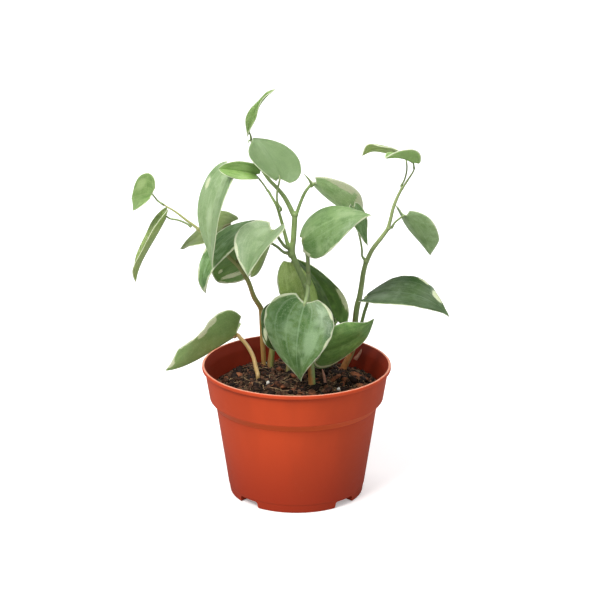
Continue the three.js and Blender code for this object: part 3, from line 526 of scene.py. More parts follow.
def curve_through(points, per_segment):
    """Places on a smooth curve through the points (a centripetal Catmull-Rom curve)."""
    points = np.asarray(points, float)
    points = np.vstack([2 * points[0] - points[1], points, 2 * points[-1] - points[-2]])
    u = np.linspace(0, 1, per_segment, endpoint=False)[:, None]
    found = []
    for i in range(1, len(points) - 2):
        p0, p1, p2, p3 = points[i - 1 : i + 3]
        d0, d1, d2 = (max(np.linalg.norm(b - a), 1e-4) ** 0.5 for a, b in ((p0, p1), (p1, p2), (p2, p3)))
        m1 = ((p1 - p0) / d0 - (p2 - p0) / (d0 + d1) + (p2 - p1) / d1) * d1
        m2 = ((p2 - p1) / d1 - (p3 - p1) / (d1 + d2) + (p3 - p2) / d2) * d1
        found.append(p1 + m1 * u + (3 * (p2 - p1) - 2 * m1 - m2) * u**2 + (2 * (p1 - p2) + m1 + m2) * u**3)
    return np.vstack(found + [points[-2]])


def lengths_along(line):
    """Distance from the start of a line at each of its places, as a share of the whole."""
    steps = np.concatenate([[0], np.cumsum(np.linalg.norm(np.diff(line, axis=0), axis=1))])
    return steps / steps[-1]


def stacked(rings, low=None, high=None):
    """A closed solid from equal rings, with flat ends or with a point below and a point above."""
    rings = np.asarray(rings, float)
    count = rings.shape[0] * rings.shape[1]
    first = 0 if low is None else 1
    grid = np.arange(first, first + count).reshape(rings.shape[:2])
    after = np.roll(grid, -1, axis=1)
    faces = list(np.stack([grid[:-1], after[:-1], after[1:], grid[1:]], -1).reshape(-1, 4))
    if low is None:
        return rings.reshape(-1, 3), faces + [grid[0][::-1], grid[-1]]
    faces += [(0, b, a) for a, b in zip(grid[0], after[0])]
    faces += [(count + 1, a, b) for a, b in zip(grid[-1], after[-1])]
    return np.vstack([low, rings.reshape(-1, 3), high]), faces


def tube(line, radii, sides):
    """A closed round tube along a line, with a domed end at both ends."""
    along = unit(np.gradient(line, axis=0))
    side = np.cross(along[0], (0, 0, 1.0))
    side = side if np.linalg.norm(side) > 0.1 else np.cross(along[0], (1.0, 0, 0))
    angles = all_round(sides)[:, None]
    rounds = []
    for ahead in along:
        side = unit(side - ahead * np.dot(side, ahead))
        rounds.append(np.cos(angles) * side + np.sin(angles) * np.cross(ahead, side))

    def ring(i, share=1.0, rise=0.0):
        return line[i] + (along[i] * rise + rounds[i] * share) * radii[i]

    rings = [ring(0, share, -rise) for share, rise in DOMES]
    rings += [ring(i) for i in range(len(line))]
    rings += [ring(-1, share, rise) for share, rise in DOMES[::-1]]
    return stacked(rings)


def turned(outline, sides):
    """A closed solid turned about the Z axis; the outline starts and ends on the axis."""
    angles = all_round(sides)
    rings = [[(radius * math.cos(a), radius * math.sin(a), z) for a in angles] for radius, z in outline[1:-1]]
    return stacked(rings, (0, 0, outline[0][1]), (0, 0, outline[-1][1]))


def ball(rows, sides):
    """A closed round lump of radius one."""
    rises = np.linspace(-math.pi / 2, math.pi / 2, rows + 1)
    return turned([(math.cos(a), math.sin(a)) for a in rises], sides)


def rim_of(rows, columns):
    """Numbers of the places round the rim of a grid, and the whole grid."""
    grid = np.arange(rows * columns).reshape(rows, columns)
    return np.concatenate([grid[0], grid[1:, -1], grid[-1, -2::-1], grid[-2:0:-1, 0]]), grid


def slab(upper, lower, rim=None):
    """A closed thin sheet between two grids of places, with a row of places round its rim where given."""
    ring, grid = rim_of(*upper.shape[:2])
    count = grid.size
    quads = np.stack([grid[:-1, :-1], grid[:-1, 1:], grid[1:, 1:], grid[1:, :-1]], -1).reshape(-1, 4)
    faces = list(quads) + list(quads[:, ::-1] + count)
    after = np.roll(ring, -1)
    if rim is None:
        faces += list(np.stack([after, ring, ring + count, after + count], -1))
        return np.vstack([upper.reshape(-1, 3), lower.reshape(-1, 3)]), faces
    own = np.arange(len(ring)) + 2 * count
    faces += list(np.stack([ring, own, np.roll(own, -1), after], -1))
    faces += list(np.stack([own, ring + count, after + count, np.roll(own, -1)], -1))
    return np.vstack([upper.reshape(-1, 3), lower.reshape(-1, 3), rim]), faces


def settled(piece):
    """Works the piece's modifiers into its mesh."""
    mesh = bpy.data.meshes.new_from_object(piece.evaluated_get(bpy.context.evaluated_depsgraph_get()))
    old = piece.data
    piece.modifiers.clear()
    piece.data = mesh
    bpy.data.meshes.remove(old)
    mesh.name = piece.name


def grown_together(piece, voxel, smoothing):
    """Joins shapes that meet into one smooth skin."""
    joined = piece.modifiers.new("join", "REMESH")
    joined.mode = "VOXEL"
    joined.voxel_size = voxel
    joined.use_smooth_shade = True
    soft = piece.modifiers.new("soften", "SMOOTH")
    soft.factor = 0.5
    soft.iterations = smoothing
    settled(piece)


def ripple(x, y, z, seed):
    """Smooth made-up noise between about -1 and 1, the same on each run."""
    total = np.zeros(np.broadcast(x, y, z).shape)
    for k in range(5):
        a, b, c = (math.sin(seed * (1.7 + k) + n * 2.1) for n in (0, 1, 2))
        turn = x * (1.3 * a + 0.4) + y * (1.3 * b - 0.3) + z * (1.1 * c + 0.5) + seed * (k + 1.3)
        total = total + np.sin(turn)
    return total / 5


# ---------------------------------------------------------------- material helpers


class Value:
    """What a node puts out; sums, differences, products and shares of it are nodes too."""

    def __init__(self, sheet, socket):
        self.sheet, self.socket = sheet, socket

    def __add__(self, other):
        return self.sheet.math("ADD", self, other)

    def __sub__(self, other):
        return self.sheet.math("SUBTRACT", self, other)

    def __mul__(self, other):
        return self.sheet.math("MULTIPLY", self, other)

    def __truediv__(self, other):
        return self.sheet.math("DIVIDE", self, other)

    def step(self, low, high, to_low=0.0, to_high=1.0):
        """A smooth step from to_low to to_high as this goes from low to high."""
        given = (self, low, high, to_low, to_high)
        return self.sheet.node("ShaderNodeMapRange", given, interpolation_type="SMOOTHSTEP")


class Sheet:
    """A node tree that is written line by line."""

    def __init__(self, tree):
        self.tree = tree

    def put(self, socket, value):
        """Links a value or sets a plain one."""
        if isinstance(value, Value):
            self.tree.links.new(value.socket, socket)
        elif hasattr(value, "__len__") and len(value) == 3 and socket.type == "RGBA":
            socket.default_value = (*value, 1.0)
        else:
            socket.default_value = value

    def node(self, kind, given=(), output=0, **settings):
        """A node with its first inputs given in turn or by name, and one of its outputs."""
        made = self.tree.nodes.new(kind)
        for key, value in settings.items():
            setattr(made, key, value)
        for key, value in given.items() if isinstance(given, dict) else enumerate(given):
            self.put(made.inputs[key], value)
        return Value(self, made.outputs[output])

    def math(self, what, a, b=0.0):
        """One sum, product or other step between two numbers."""
        return self.node("ShaderNodeMath", (a, b), operation=what)

    def mix(self, share, a, b, blend="MIX"):
        """Colour a turned into b by a share."""
        given = {"Factor": share, 6: a, 7: b}
        return self.node("ShaderNodeMix", given, 2, data_type="RGBA", blend_type=blend, clamp_factor=True)

    def layers(self, colour, *covers):
        """A colour with others laid over it in turn, each by its share."""
        for share, cover in covers:
            colour = self.mix(share, colour, cover)
        return colour

    def noise(self, place, scale, detail=2.0, roughness=0.5):
        """Smooth noise between 0 and 1."""
        given = {"Vector": place, "Scale": scale, "Detail": detail, "Roughness": roughness}
        return self.node("ShaderNodeTexNoise", given, "Fac")

    def mark(self, name):
        """A value that the mesh keeps per vertex."""
        return self.node("ShaderNodeAttribute", (), "Fac", attribute_name=name)

    def place(self):
        """Where a point is on the piece, in metres."""
        return self.node("ShaderNodeTexCoord", (), "Object")

    def parts(self, vector):
        """The X, Y and Z of a vector."""
        first = self.node("ShaderNodeSeparateXYZ", (vector,))
        return [Value(self, socket) for socket in first.socket.node.outputs]

    def point(self, x, y, z):
        """A vector from three numbers."""
        return self.node("ShaderNodeCombineXYZ", (x, y, z))


def new_group(name, colours, numbers):
    """An empty shader node group: its sheet, its inputs by name, and a call that gives what it puts out."""
    tree = bpy.data.node_groups.new(name, "ShaderNodeTree")
    for labels, kind in ((colours, "Color"), (numbers, "Float")):
        for label in labels.split():
            tree.interface.new_socket(label, in_out="INPUT", socket_type="NodeSocket" + kind)
    for label, kind in (("Color", "Color"), ("Roughness", "Float"), ("Height", "Float")):
        tree.interface.new_socket(label, in_out="OUTPUT", socket_type="NodeSocket" + kind)
    sheet = Sheet(tree)
    given = {s.name: Value(sheet, s) for s in tree.nodes.new("NodeGroupInput").outputs}
    out = tree.nodes.new("NodeGroupOutput").inputs

    def give(*values):
        for socket, value in zip(out, values):
            sheet.put(socket, value)

    return sheet, given, give


def new_material(name):
    """An empty material with its sheet and the inputs of its main shader."""
    material = bpy.data.materials.new(name)
    material.use_nodes = True
    material.node_tree.nodes.clear()
    sheet = Sheet(material.node_tree)
    shader = sheet.node("ShaderNodeBsdfPrincipled")
    sheet.put(material.node_tree.nodes.new("ShaderNodeOutputMaterial").inputs["Surface"], shader)
    return material, sheet, shader.socket.node.inputs


def dress(sheet, shader, colour, roughness, height, bump, distance):
    """Leads colour, roughness and height to the shader."""
    dent = sheet.node("ShaderNodeBump", {"Strength": bump, "Distance": distance, "Height": height})
    for key, value in (("Base Color", colour), ("Roughness", roughness), ("Normal", dent)):
        sheet.put(shader[key], value)


def group_material(name, group, bump, distance=0.0001, specular=0.5, **values):
    """A material that takes its colour, roughness and height from a group."""
    material, sheet, shader = new_material(name)
    made = sheet.tree.nodes.new("ShaderNodeGroup")
    made.node_tree = bpy.data.node_groups[group]
    for key, value in values.items():
        sheet.put(made.inputs[key], value)
    dress(sheet, shader, *(Value(sheet, socket) for socket in made.outputs), bump, distance)
    shader["Specular IOR Level"].default_value = specular
    return material, shader


def build_leaf_group():
    """Blade tissue: clouded green with pale lines along it, a painted sheen, clouds that are partly painted
    shade and painted highlight, and a thin ragged cream edge.
    """
    sheet, given, give = new_group(
        "leaf_tissue", "Green Deep Light Cream Below", "Margin Streaks Veins Mottle Under Seed"
    )
    edge, across, along = sheet.mark("edge"), sheet.mark("across"), sheet.mark("along")
    seed, mottle = given["Seed"], given["Mottle"]

    def pattern(wide, long, scale, detail, shift=0.0):
        return sheet.noise(sheet.point(across * wide, along * long, seed + shift), scale, detail, 0.6)

    lines = pattern(15, 0.13, 1.5, 4)
    grain = pattern(22, 1.5, 2.6, 3)
    off = lines - 0.5
    spread = sheet.noise(sheet.point(along * 0.1, sheet.math("SIGN", across) * 3.7, seed), 1.4, 2)
    width = given["Margin"] * spread.step(0.42, 0.68, 0.55, 2.2)
    cream = ((off * width * 1.3 + edge) / width).step(0.6, 1.2, 0.9, 0.0)
    cream = sheet.math("MAXIMUM", cream, (off * 0.9 + sheet.mark("pale")).step(0.42, 0.6))
    reach = sheet.math("ABSOLUTE", across)
    vein = reach.step(0.0, 0.05, 1.0, 0.0)
    for place in SIDE_VEINS:
        vein = sheet.math("MAXIMUM", vein, sheet.math("ABSOLUTE", reach - place).step(0.0, 0.045, 0.5, 0.0))
    # Painted sheen: soft paler patches, slightly glossier, stand in for the lamps' reflection on the blade;
    # Mottle sets how strong they are.
    light = pattern(1.6, 0.12, 1.5, 2, 40.0).step(0.48, 0.72, 0.0, 0.8) * mottle
    # The listed clouds: deeper green is partly painted shade, lighter green is partly a painted highlight,
    # and the rest is the blade's own tone.
    cloud = off * 0.6 + sheet.mark("cloud")
    colour = sheet.layers(
        given["Green"],
        (pattern(2.2, 0.11, 1.4, 3).step(0.45, 0.68, 0.0, 0.95) * mottle, given["Deep"]),
        (light, given["Light"]),
        (cloud.step(0.2, 0.8, 0.0, 0.9), given["Deep"]),
        (cloud.step(-0.8, -0.2, 0.85, 0.0), given["Light"]),
        (lines.step(0.45, 0.75) * given["Streaks"], given["Light"]),
        (pattern(14, 0.9, 2.2, 2, 80.0).step(0.56, 0.68, 0.0, 0.55) * mottle, given["Light"]),
        (vein * given["Veins"], given["Light"]),
        (sheet.mark("under") * given["Under"], given["Below"]),
        (cream, given["Cream"]),
    )
    give(
        sheet.mix(1.0, colour, grain.step(0.28, 0.72, 0.8, 1.17), "MULTIPLY"),
        grain * 0.16 + light * -0.08 + cream * 0.06 + 0.34,
        lines * 0.5 + grain * 0.5 - vein * 0.5,
    )


def build_stem_group():
    """Stem skin: green that turns tan towards the soil, with fine lengthwise streaks."""
    sheet, given, give = new_group("stem_skin", "Green Tan", "Low High Seed")
    x, y, z = sheet.parts(sheet.place())
    x, y = x + given["Seed"], y + given["Seed"]
    streaks = sheet.noise(sheet.point(x, y, z * 0.12), 1500, 3, 0.6)
    blots = sheet.noise(sheet.point(x, y, z), 260, 3)
    height = (blots - 0.5) * 0.02 + z + sheet.mark("lee") * -0.018
    colour = sheet.layers(
        given["Green"],
        (height.step(given["Low"], given["High"], 1.0, 0.0), given["Tan"]),
        (streaks.step(0.5, 0.8, 0.0, 0.35), tone("#cdd0a0")),
        (blots.step(0.58, 0.75, 0.0, 0.4), tone("#6a5a34")),
    )
    give(colour, blots * 0.25 + 0.32, streaks)


def build_soil_group():
    """Damp potting mix: every grain has its own shade between two colours."""
    sheet, given, give = new_group("soil_grain", "Dark Light", "Fine")
    coarse = sheet.noise(sheet.place(), given["Fine"], 5, 0.65)
    specks = sheet.noise(sheet.place(), given["Fine"] * 4.3, 3, 0.6)
    colour = sheet.layers(
        given["Dark"],
        ((coarse - 0.5) * 1.7 + sheet.mark("tint"), given["Light"]),
        (specks.step(0.62, 0.78, 0.0, 0.4), tone("#8a6a4c")),
    )
    give(colour, specks.step(0.3, 0.7, 0.55, 0.95), coarse * 0.6 + specks * 0.4)


def pot_material(settings):
    """Moulded terracotta-red plastic: satin, slightly mottled and scuffed, darker towards the foot, with
    painted shade inside, a painted highlight on faces that look up and painted bounce light on faces that
    look down.
    """
    material, sheet, shader = new_material("moulded_red_plastic")
    place = sheet.place()
    x, y, z = sheet.parts(place)
    facing_x, facing_y, facing_z = sheet.parts(sheet.node("ShaderNodeNewGeometry", (), "Normal"))
    flow = sheet.noise(sheet.point(x, y, z * 0.35), 42, 3, 0.55)
    peel = sheet.noise(place, 900, 2)
    scuff = sheet.noise(sheet.point(x, y, z * 3.5), 210, 4, 0.7)
    outward = x * facing_x + y * facing_y
    colour = sheet.layers(
        settings.plastic_low,
        # Darker towards the foot: the lower colour turns into the main one by the bottom of the collar.
        (z.step(0.0, COLLAR_BOTTOM_Z * MM), settings.plastic),
        (flow.step(0.35, 0.7, 0.0, 0.35), settings.plastic_deep),
        # Painted shade: faces inside the wall take a darker red for the shadow within the pot.
        (outward.step(-0.036, -0.02, 1.0, 0.0), settings.plastic_painted_inner_shade),
        # Painted bounce light: faces that look down, such as the slope under the collar, take a lighter
        # colour in place of light thrown up from the floor.
        (facing_z.step(-0.75, -0.35, 0.9, 0.0), settings.plastic_painted_bounce),
        # Painted highlight: faces that look up, such as the top of the lip, take the pale colour; the scuffs
        # on the next line are the plastic's own wear.
        (facing_z.step(0.6, 0.95) * scuff.step(0.3, 0.6, 0.55, 0.95), settings.plastic_scuff_and_highlight),
        (scuff.step(0.66, 0.8, 0.0, 0.16), settings.plastic_scuff_and_highlight),
    )
    gloss = scuff * 0.22 + (settings.roughness - 0.1)
    dress(sheet, shader, colour, gloss, flow * 0.7 + peel * 0.3, 0.16, 0.00012)
    shader["Specular IOR Level"].default_value = 0.32
    return material


def leaf_material(name, leaf, settings, seed):
    """One leaf's own tissue."""
    greens = zip(("Green", "Deep", "Light", "Below"), TONES[leaf.tone])
    # Painted light: the greens are scaled by bright, paler for blades turned from the lamps and darker for
    # lit ones, and on shaded blades the cream is lifted with it.
    colours = {key: np.asarray(tone(code)) * leaf.bright for key, code in greens}
    lift = min(max(1.0, leaf.bright**0.8), PALEST / max(settings.cream))
    own = {}
    for key in ("streaks", "veins", "mottle", "under"):
        value = getattr(leaf, key)
        own[key.title()] = getattr(settings, key) if value is None else value
    material, shader = group_material(
        "tissue_" + name, "leaf_tissue", 0.35, specular=0.36, Cream=np.asarray(settings.cream) * lift,
        Margin=settings.margin / MM * leaf.margin, Seed=seed, **colours, **own,
    )
    shader["Subsurface Weight"].default_value = 0.8
    shader["Subsurface Radius"].default_value = (1.6, 1.6, 1.5)
    shader["Subsurface Scale"].default_value = 0.0018
    return material


def stem_material(name, green, tan, low, high, seed):
    """One stem's skin."""
    values = {"Green": tone(green), "Tan": tone(tan), "Low": low, "High": high, "Seed": seed * 0.13}
    return group_material("skin_" + name, "stem_skin", 0.3, **values)[0]


def soil_material(name, dark, light, fine, bump=0.8):
    """One kind of grain of the potting mix; the higher fine is, the smaller its specks."""
    return group_material(name, "soil_grain", bump, 0.0004, 0.22, Dark=dark, Light=light, Fine=fine)[0]


# ---------------------------------------------------------------- pot


def wall_radius(z):
    """Outside radius of the pot's wall or collar at a height, in millimetres."""
    if z <= WALL_TOP_Z:
        return FOOT_RADIUS + (WALL_TOP_RADIUS - FOOT_RADIUS) * z / WALL_TOP_Z
    rise = (z - COLLAR_BOTTOM_Z) / (LIP_BOTTOM_Z - COLLAR_BOTTOM_Z)
    return COLLAR_BOTTOM_RADIUS + (COLLAR_TOP_RADIUS - COLLAR_BOTTOM_RADIUS) * rise


def inner_radius(z):
    """Inside radius of the pot at a height, in millimetres."""
    return wall_radius(z) - WALL


def rounded(corners, steps=5):
    """An outline of (radius, height) places from corners that each have a rounding as well."""
    outline, found = np.asarray([corner[:2] for corner in corners], float), []
    for i, corner in enumerate(outline):
        radius = corners[i][2]
        if radius == 0:
            found.append(corner)
            continue
        before, after = outline[i - 1] - corner, outline[i + 1] - corner
        room = 0.45 * min(np.linalg.norm(before), np.linalg.norm(after))
        before, after = unit(before), unit(after)
        half = math.acos(float(np.clip(np.dot(before, after), -1, 1))) / 2
        cut = min(room, radius / max(math.tan(half), 0.05))
        for u in np.arange(steps + 1) / steps:
            found.append(corner + before * cut * (1 - u) ** 2 + after * cut * u**2)
    return found


def pulled(outline, near, far, turn):
    """An outline of (sideways, up) pairs pulled outwards from near to far, at a turn about Z."""
    c, s = math.cos(turn), math.sin(turn)
    return stacked([[(c * reach - s * u, s * reach + c * u, z) for u, z in outline] for reach in (near, far)])


def notch_outline(grow, bottom, flare):
    """Half-round-cornered outline of a drain notch, wider at its mouth by flare."""
    half, top = NOTCH_WIDTH / 2 + grow, NOTCH_HEIGHT + grow
    arc = [(1 - math.cos(a), 1 - math.sin(a)) for a in np.linspace(0, math.pi / 2, 5)]
    right = [(half + flare, bottom)]
    right += [(half + flare * v, flare * u) for u, v in arc] if flare else [(half, bottom + 0.1)]
    right += [(half - NOTCH_ROUNDING * u, top - NOTCH_ROUNDING * v) for u, v in arc]
    return right + [(-u, z) for u, z in reversed(right)]


def shape_with(piece, places, faces, how):
    """Cuts a shape from the piece or adds it."""
    tool = make_piece("tool", places * MM, faces, [])
    step = piece.modifiers.new("shape", "BOOLEAN")
    step.operation, step.solver, step.object = how, "EXACT", tool
    settled(piece)
    mesh = tool.data
    bpy.data.objects.remove(tool)
    bpy.data.meshes.remove(mesh)


def build_pot(settings):
    """The pot: turned wall with a collar and a lip, four drain notches and their pockets."""
    step_radius = wall_radius(FOOT_STEP_Z)
    # Radius, height and rounding of each corner, from the middle of the underside up and back inside.
    corners = (
        (0, 0, 0),
        (FOOT_RADIUS - FOOT_STEP, 0, 0.7),
        (step_radius - FOOT_STEP, FOOT_STEP_Z - FOOT_STEP, 0.15),
        (step_radius, FOOT_STEP_Z + FOOT_STEP, 0.15),
        (WALL_TOP_RADIUS, WALL_TOP_Z, 1.2),
        (COLLAR_BOTTOM_RADIUS, COLLAR_BOTTOM_Z, 0.9),
        (COLLAR_TOP_RADIUS, LIP_BOTTOM_Z, 0.35),
        (LIP_RADIUS, LIP_BOTTOM_Z + 0.2, 0.45),
        (LIP_RADIUS, POT_HEIGHT, 0.6),
        (LIP_RADIUS - LIP_TOP, POT_HEIGHT, 0.5),
        (inner_radius(LIP_BOTTOM_Z) - 0.4, LIP_BOTTOM_Z - 3, 12),
        (inner_radius(COLLAR_BOTTOM_Z), COLLAR_BOTTOM_Z + 0.6, 0.8),
        (inner_radius(WALL_TOP_Z), WALL_TOP_Z + 0.4, 1.0),
        (inner_radius(FLOOR), FLOOR, 1.0),
        (0, FLOOR, 0),
    )
    outline = rounded(corners)
    filled = [outline[0]]
    for a, b in zip(outline, outline[1:]):
        parts = max(1, int(np.linalg.norm(b - a) / POT_FACE_HEIGHT))
        filled += [a + (b - a) * k / parts for k in range(1, parts + 1)]
    places, faces = turned(filled, POT_SIDES)
    pot = make_piece("nursery_pot", places * MM, faces, [pot_material(settings)], "pot")
    inner = FOOT_RADIUS - NOTCH_DEPTH
    long, wide, high = DRAIN_SLOT
    low, top, middle = NOTCH_HEIGHT - high / 2, NOTCH_HEIGHT + high, inner + NOTCH_DEPTH / 2
    slot = [(wide / 2, low), (wide / 2, top), (-wide / 2, top), (-wide / 2, low)]
    pocket, notch = notch_outline(POCKET_WALL, POCKET_INSET, 0), notch_outline(0, -CUT_BELOW, NOTCH_ROUNDING)
    for turn in NOTCH_TURNS:
        shape_with(pot, *pulled(pocket, inner - POCKET_WALL, FOOT_RADIUS - POCKET_INSET, turn), "UNION")
        shape_with(pot, *pulled(notch, inner, FOOT_RADIUS + CUT_PAST, turn), "DIFFERENCE")
        shape_with(pot, *pulled(slot, middle - long / 2, middle + long / 2, turn), "DIFFERENCE")
    pot.data.polygons.foreach_set("use_smooth", np.ones(len(pot.data.polygons), bool))
    pot.data.set_sharp_from_angle(angle=math.radians(POT_SHARP_ANGLE))


# ---------------------------------------------------------------- soil


def soil_radius(z):
    """Radius of the soil at a height, in millimetres."""
    return inner_radius(z) - SEAT_GAP


def soil_top(x, y):
    """Height of the soil's top, in millimetres."""
    share = np.minimum(1, np.hypot(x, y) / soil_radius(SOIL_EDGE_Z))
    lumps = (
        np.sin(0.21 * x + 1.3) * np.cos(0.19 * y - 0.6)
        + 0.6 * np.sin(0.37 * x - 0.29 * y + 2.1)
        + 0.4 * np.cos(0.43 * x + 0.38 * y)
    )
    return SOIL_EDGE_Z + SOIL_RISE * (1 - share**2) + SOIL_LUMP * lumps * (1 - share**4)


def build_soil(settings):
    """The body of the potting mix, with a crumbly top."""
    edge = soil_radius(SOIL_EDGE_Z)
    outline = [(0, FLOOR + SEAT_GAP), (soil_radius(FLOOR) - 0.2, FLOOR + SEAT_GAP)]
    outline += [(soil_radius(z), z) for z in SOIL_WALL_Z]
    outline += [(edge * (1 - k / SOIL_RINGS), SOIL_EDGE_Z) for k in range(SOIL_RINGS + 1)]
    places, faces = turned(outline, SOIL_SIDES)
    x, y, z = places.T
    share = np.minimum(1, np.hypot(x, y) / edge)
    crumbs = 0.55 * ripple(x * 1.1, y * 1.1, 0, 3) + 0.45 * ripple(x * 2.6, y * 2.6, 0, 8)
    crumbs += 0.35 * np.abs(ripple(x * 4.6, y * 4.6, 0, 13))
    z[:] = np.where(z > SOIL_EDGE_Z - 0.1, soil_top(x, y) + (crumbs - 0.2) * (1 - 0.6 * share**6), z)
    inwards, sideways, upwards = NOTCH_ROOM
    for turn in NOTCH_TURNS:
        ahead, aside = x * math.cos(turn) + y * math.sin(turn), y * math.cos(turn) - x * math.sin(turn)
        under = (ahead > FOOT_RADIUS - NOTCH_DEPTH - inwards) & (np.abs(aside) < NOTCH_WIDTH / 2 + sideways)
        under &= z < NOTCH_ROOM_Z
        z[under] = np.maximum(z[under], NOTCH_HEIGHT + POCKET_WALL + upwards)
    tint = 0.35 + 0.3 * ripple(x * 0.5, y * 0.5, 0, 5)
    material = soil_material("damp_mix", settings.dark, settings.light, 420.0)
    make_piece("potting_mix", places * MM, faces, [material], "soil", marks={"tint": tint})


def on_soil(x, y, lift=0.0):
    """A place on the soil."""
    return np.asarray((x, y, float(soil_top(x, y)) + lift))


def resting_spot(dice, reach):
    """A random place on the soil, clear of its edge by reach."""
    turn, out = dice.uniform(0, 2 * math.pi), soil_radius(SOIL_EDGE_Z) - reach
    out *= math.sqrt(dice.uniform(0, 1))
    return on_soil(out * math.cos(turn), out * math.sin(turn))


def any_turn(dice, tilt):
    """A random turn about Z after a random tilt, as a matrix."""
    turn, pitch, roll = dice.uniform(0, 2 * math.pi), dice.uniform(-tilt, tilt), dice.uniform(-tilt, tilt)
    return np.asarray(Euler((roll, pitch, turn)).to_matrix())


def scatter_lumps(name, dice, count, sizes, flat, material, lift, tints, rows=5, sides=8, placed=()):
    """Lumps of random size and shape on the soil; the first ones lie at the placed spots.

    sizes, flat and tints are ranges, flat for the height as a share of the size. lift is the share of the
    height by which a lump stands out.
    """
    shell = Shell()
    whole, faces = ball(rows, sides)
    for k in range(count):
        size = dice.uniform(*sizes)
        rough = 1 + 0.28 * ripple(whole[:, 0] * 2.4 + k, whole[:, 1] * 2.4, whole[:, 2] * 2.4, k + 1.0)
        shape = np.asarray((dice.uniform(0.7, 1.2), dice.uniform(0.45, 0.9), dice.uniform(*flat)))
        places = whole * rough[:, None] * shape * size / 2 @ any_turn(dice, 0.5).T
        spot = resting_spot(dice, size * 0.6)
        if k < len(placed):
            spot = on_soil(*placed[k], SPOT_LIFT)
        spot[2] += size * lift * shape[2]
        shell.add(places + spot, faces, tint=dice.uniform(*tints))
    shell.make(name, [material], slot="soil")


def scatter_fibres(name, dice, count, lengths, material):
    """Thin root and coir fibres that lie across the soil."""
    shell = Shell()
    for _ in range(count):
        length, turn = dice.uniform(*lengths), dice.uniform(0, 2 * math.pi)
        spot = resting_spot(dice, length * 0.4)
        line = []
        for share in np.arange(FIBRE_POINTS) / (FIBRE_POINTS - 1) - 0.5:
            turn += dice.uniform(-0.35, 0.35)
            x, y = spot[0] + math.cos(turn) * length * share, spot[1] + math.sin(turn) * length * share
            line.append(on_soil(x, y, 0.5 + 1.6 * (0.25 - share**2) + dice.uniform(-0.2, 0.4)))
        thick = dice.uniform(0.09, 0.22)
        rope = curve_through(line, 3)
        radii = thick * np.linspace(1, 0.5, len(rope))
        shell.add(*tube(rope, radii, FIBRE_SIDES), tint=dice.uniform(0, 1))
    shell.make(name, [material], slot="soil")


def build_litter(settings):
    """What lies on the mix: crumbs, bark chips, fibres and a few white beads."""
    dice = np.random.default_rng(settings.seed)
    crumb = soil_material("crumbs", settings.dark, settings.light, 700.0)
    bark = soil_material("bark", settings.bark_dark, settings.bark_light, 500.0, 0.6)
    straw = soil_material("coir", settings.bark_dark, settings.fibre, 400.0, 0.3)
    bead = soil_material("perlite", tone("#b9b4a8"), tone("#f2f0ea"), 900.0, 0.6)
    for name, count, sizes, flat, material, lift, tints, *rest in (
        ("soil_crumbs", settings.crumbs, (1.0, 3.6), (0.45, 0.9), crumb, 0.2, (-0.75, 0.9)),
        ("bark_chips", settings.chips, (2.4, 7.0), (0.2, 0.5), bark, 0.4, (-0.65, 1.0), 6, 9, BARK_SPOTS),
        ("perlite_beads", BEADS, (2.2, 3.2), (0.7, 1.0), bead, 0.3, (0.3, 1.0), 7, 10, BEAD_SPOTS),
    ):
        scatter_lumps(name, dice, count, sizes, flat, material, lift, tints, *rest)
    scatter_fibres("coir_fibres", dice, settings.fibres, (5, 17), straw)


# ---------------------------------------------------------------- stems


def build_sheaths(settings):
    """Dry papery sheaths left at the feet of the stems."""
    shell = Shell()
    for number, (points, width, curl) in enumerate(SHEATHS):
        line = curve_through(points, 6)
        along = unit(np.gradient(line, axis=0))
        front = unit(np.cross(along, (1.0, 0, 0)))
        front = front * np.where(front[:, 1:2] > 0, -1, 1)
        side = np.cross(along, front)[:, None]
        front = front[:, None]
        share = lengths_along(line)
        curl = math.radians(curl)
        wide = width / 2 * (1 - 0.85 * share**2) * (1 + 0.2 * ripple(share * 9, 0, 0, number + 4.0)) / curl
        turn = (curl * np.linspace(-1, 1, 9) * (0.6 + 0.4 * share[:, None]))[..., None]
        middle = line[:, None] + (side * np.sin(turn) - front * (1 - np.cos(turn))) * wide[:, None, None]
        out = (front * np.cos(turn) + side * np.sin(turn)) * SHEATH_HALF
        shell.add(*slab(middle + out, middle - out), tint=0.5 + 0.3 * (number % 2))
    paper = soil_material("dry_sheath", settings.sheath_dark, settings.sheath_light, 600.0, 0.3)
    shell.make("dry_sheaths", [paper], slot="stem_right")


def build_stems(settings):
    """The rooted shoots and the cut stem bases."""
    for number, (name, (green, tan, low, high, runs, joints)) in enumerate(STEMS.items()):
        shell = Shell()
        for start, end, *points in runs:
            line = curve_through(points, 9)
            share = lengths_along(line)
            radii = (start + (end - start) * share) * (1 + 0.035 * ripple(share * 21, 0, 0, number + 2.0))
            shell.add(*tube(line, radii, STEM_SIDES))
        for place, radius, stretch in joints:
            places, faces = ball(8, 14)
            shell.add(places * radius * (1, 1, stretch) + place, faces)
        material = stem_material(name, green, tan, low, high, number)
        piece = shell.make("grown_" + name, [material], node=name)
        grown_together(piece, settings.skin_detail, 4)
        piece.data.materials.clear()
        piece.data.materials.append(material)
        facing = np.empty(len(piece.data.vertices) * 3, np.float32)
        piece.data.vertices.foreach_get("normal", facing)
        set_mark(piece.data, "lee", -facing[::3])


# ---------------------------------------------------------------- leaves


def outline_share(outline, t):
    """Half width at t as a share of the widest half, smooth between the pairs of an outline."""
    keys, values = np.asarray(OUTLINES[outline], float).T
    number, last = np.arange(len(keys)), len(keys) - 1
    before, after = np.maximum(number - 1, 0), np.minimum(number + 1, last)
    slopes = (values[after] - values[before]) / (keys[after] - keys[before])
    i = np.clip(np.searchsorted(keys, t, side="right") - 1, 0, last - 1)
    span = keys[i + 1] - keys[i]
    u = (t - keys[i]) / span
    return (
        (1 + 2 * u) * (1 - u) ** 2 * values[i] + u * (1 - u) ** 2 * span * slopes[i]
        + u * u * (3 - 2 * u) * values[i + 1] + u * u * (u - 1) * span * slopes[i + 1]
    )


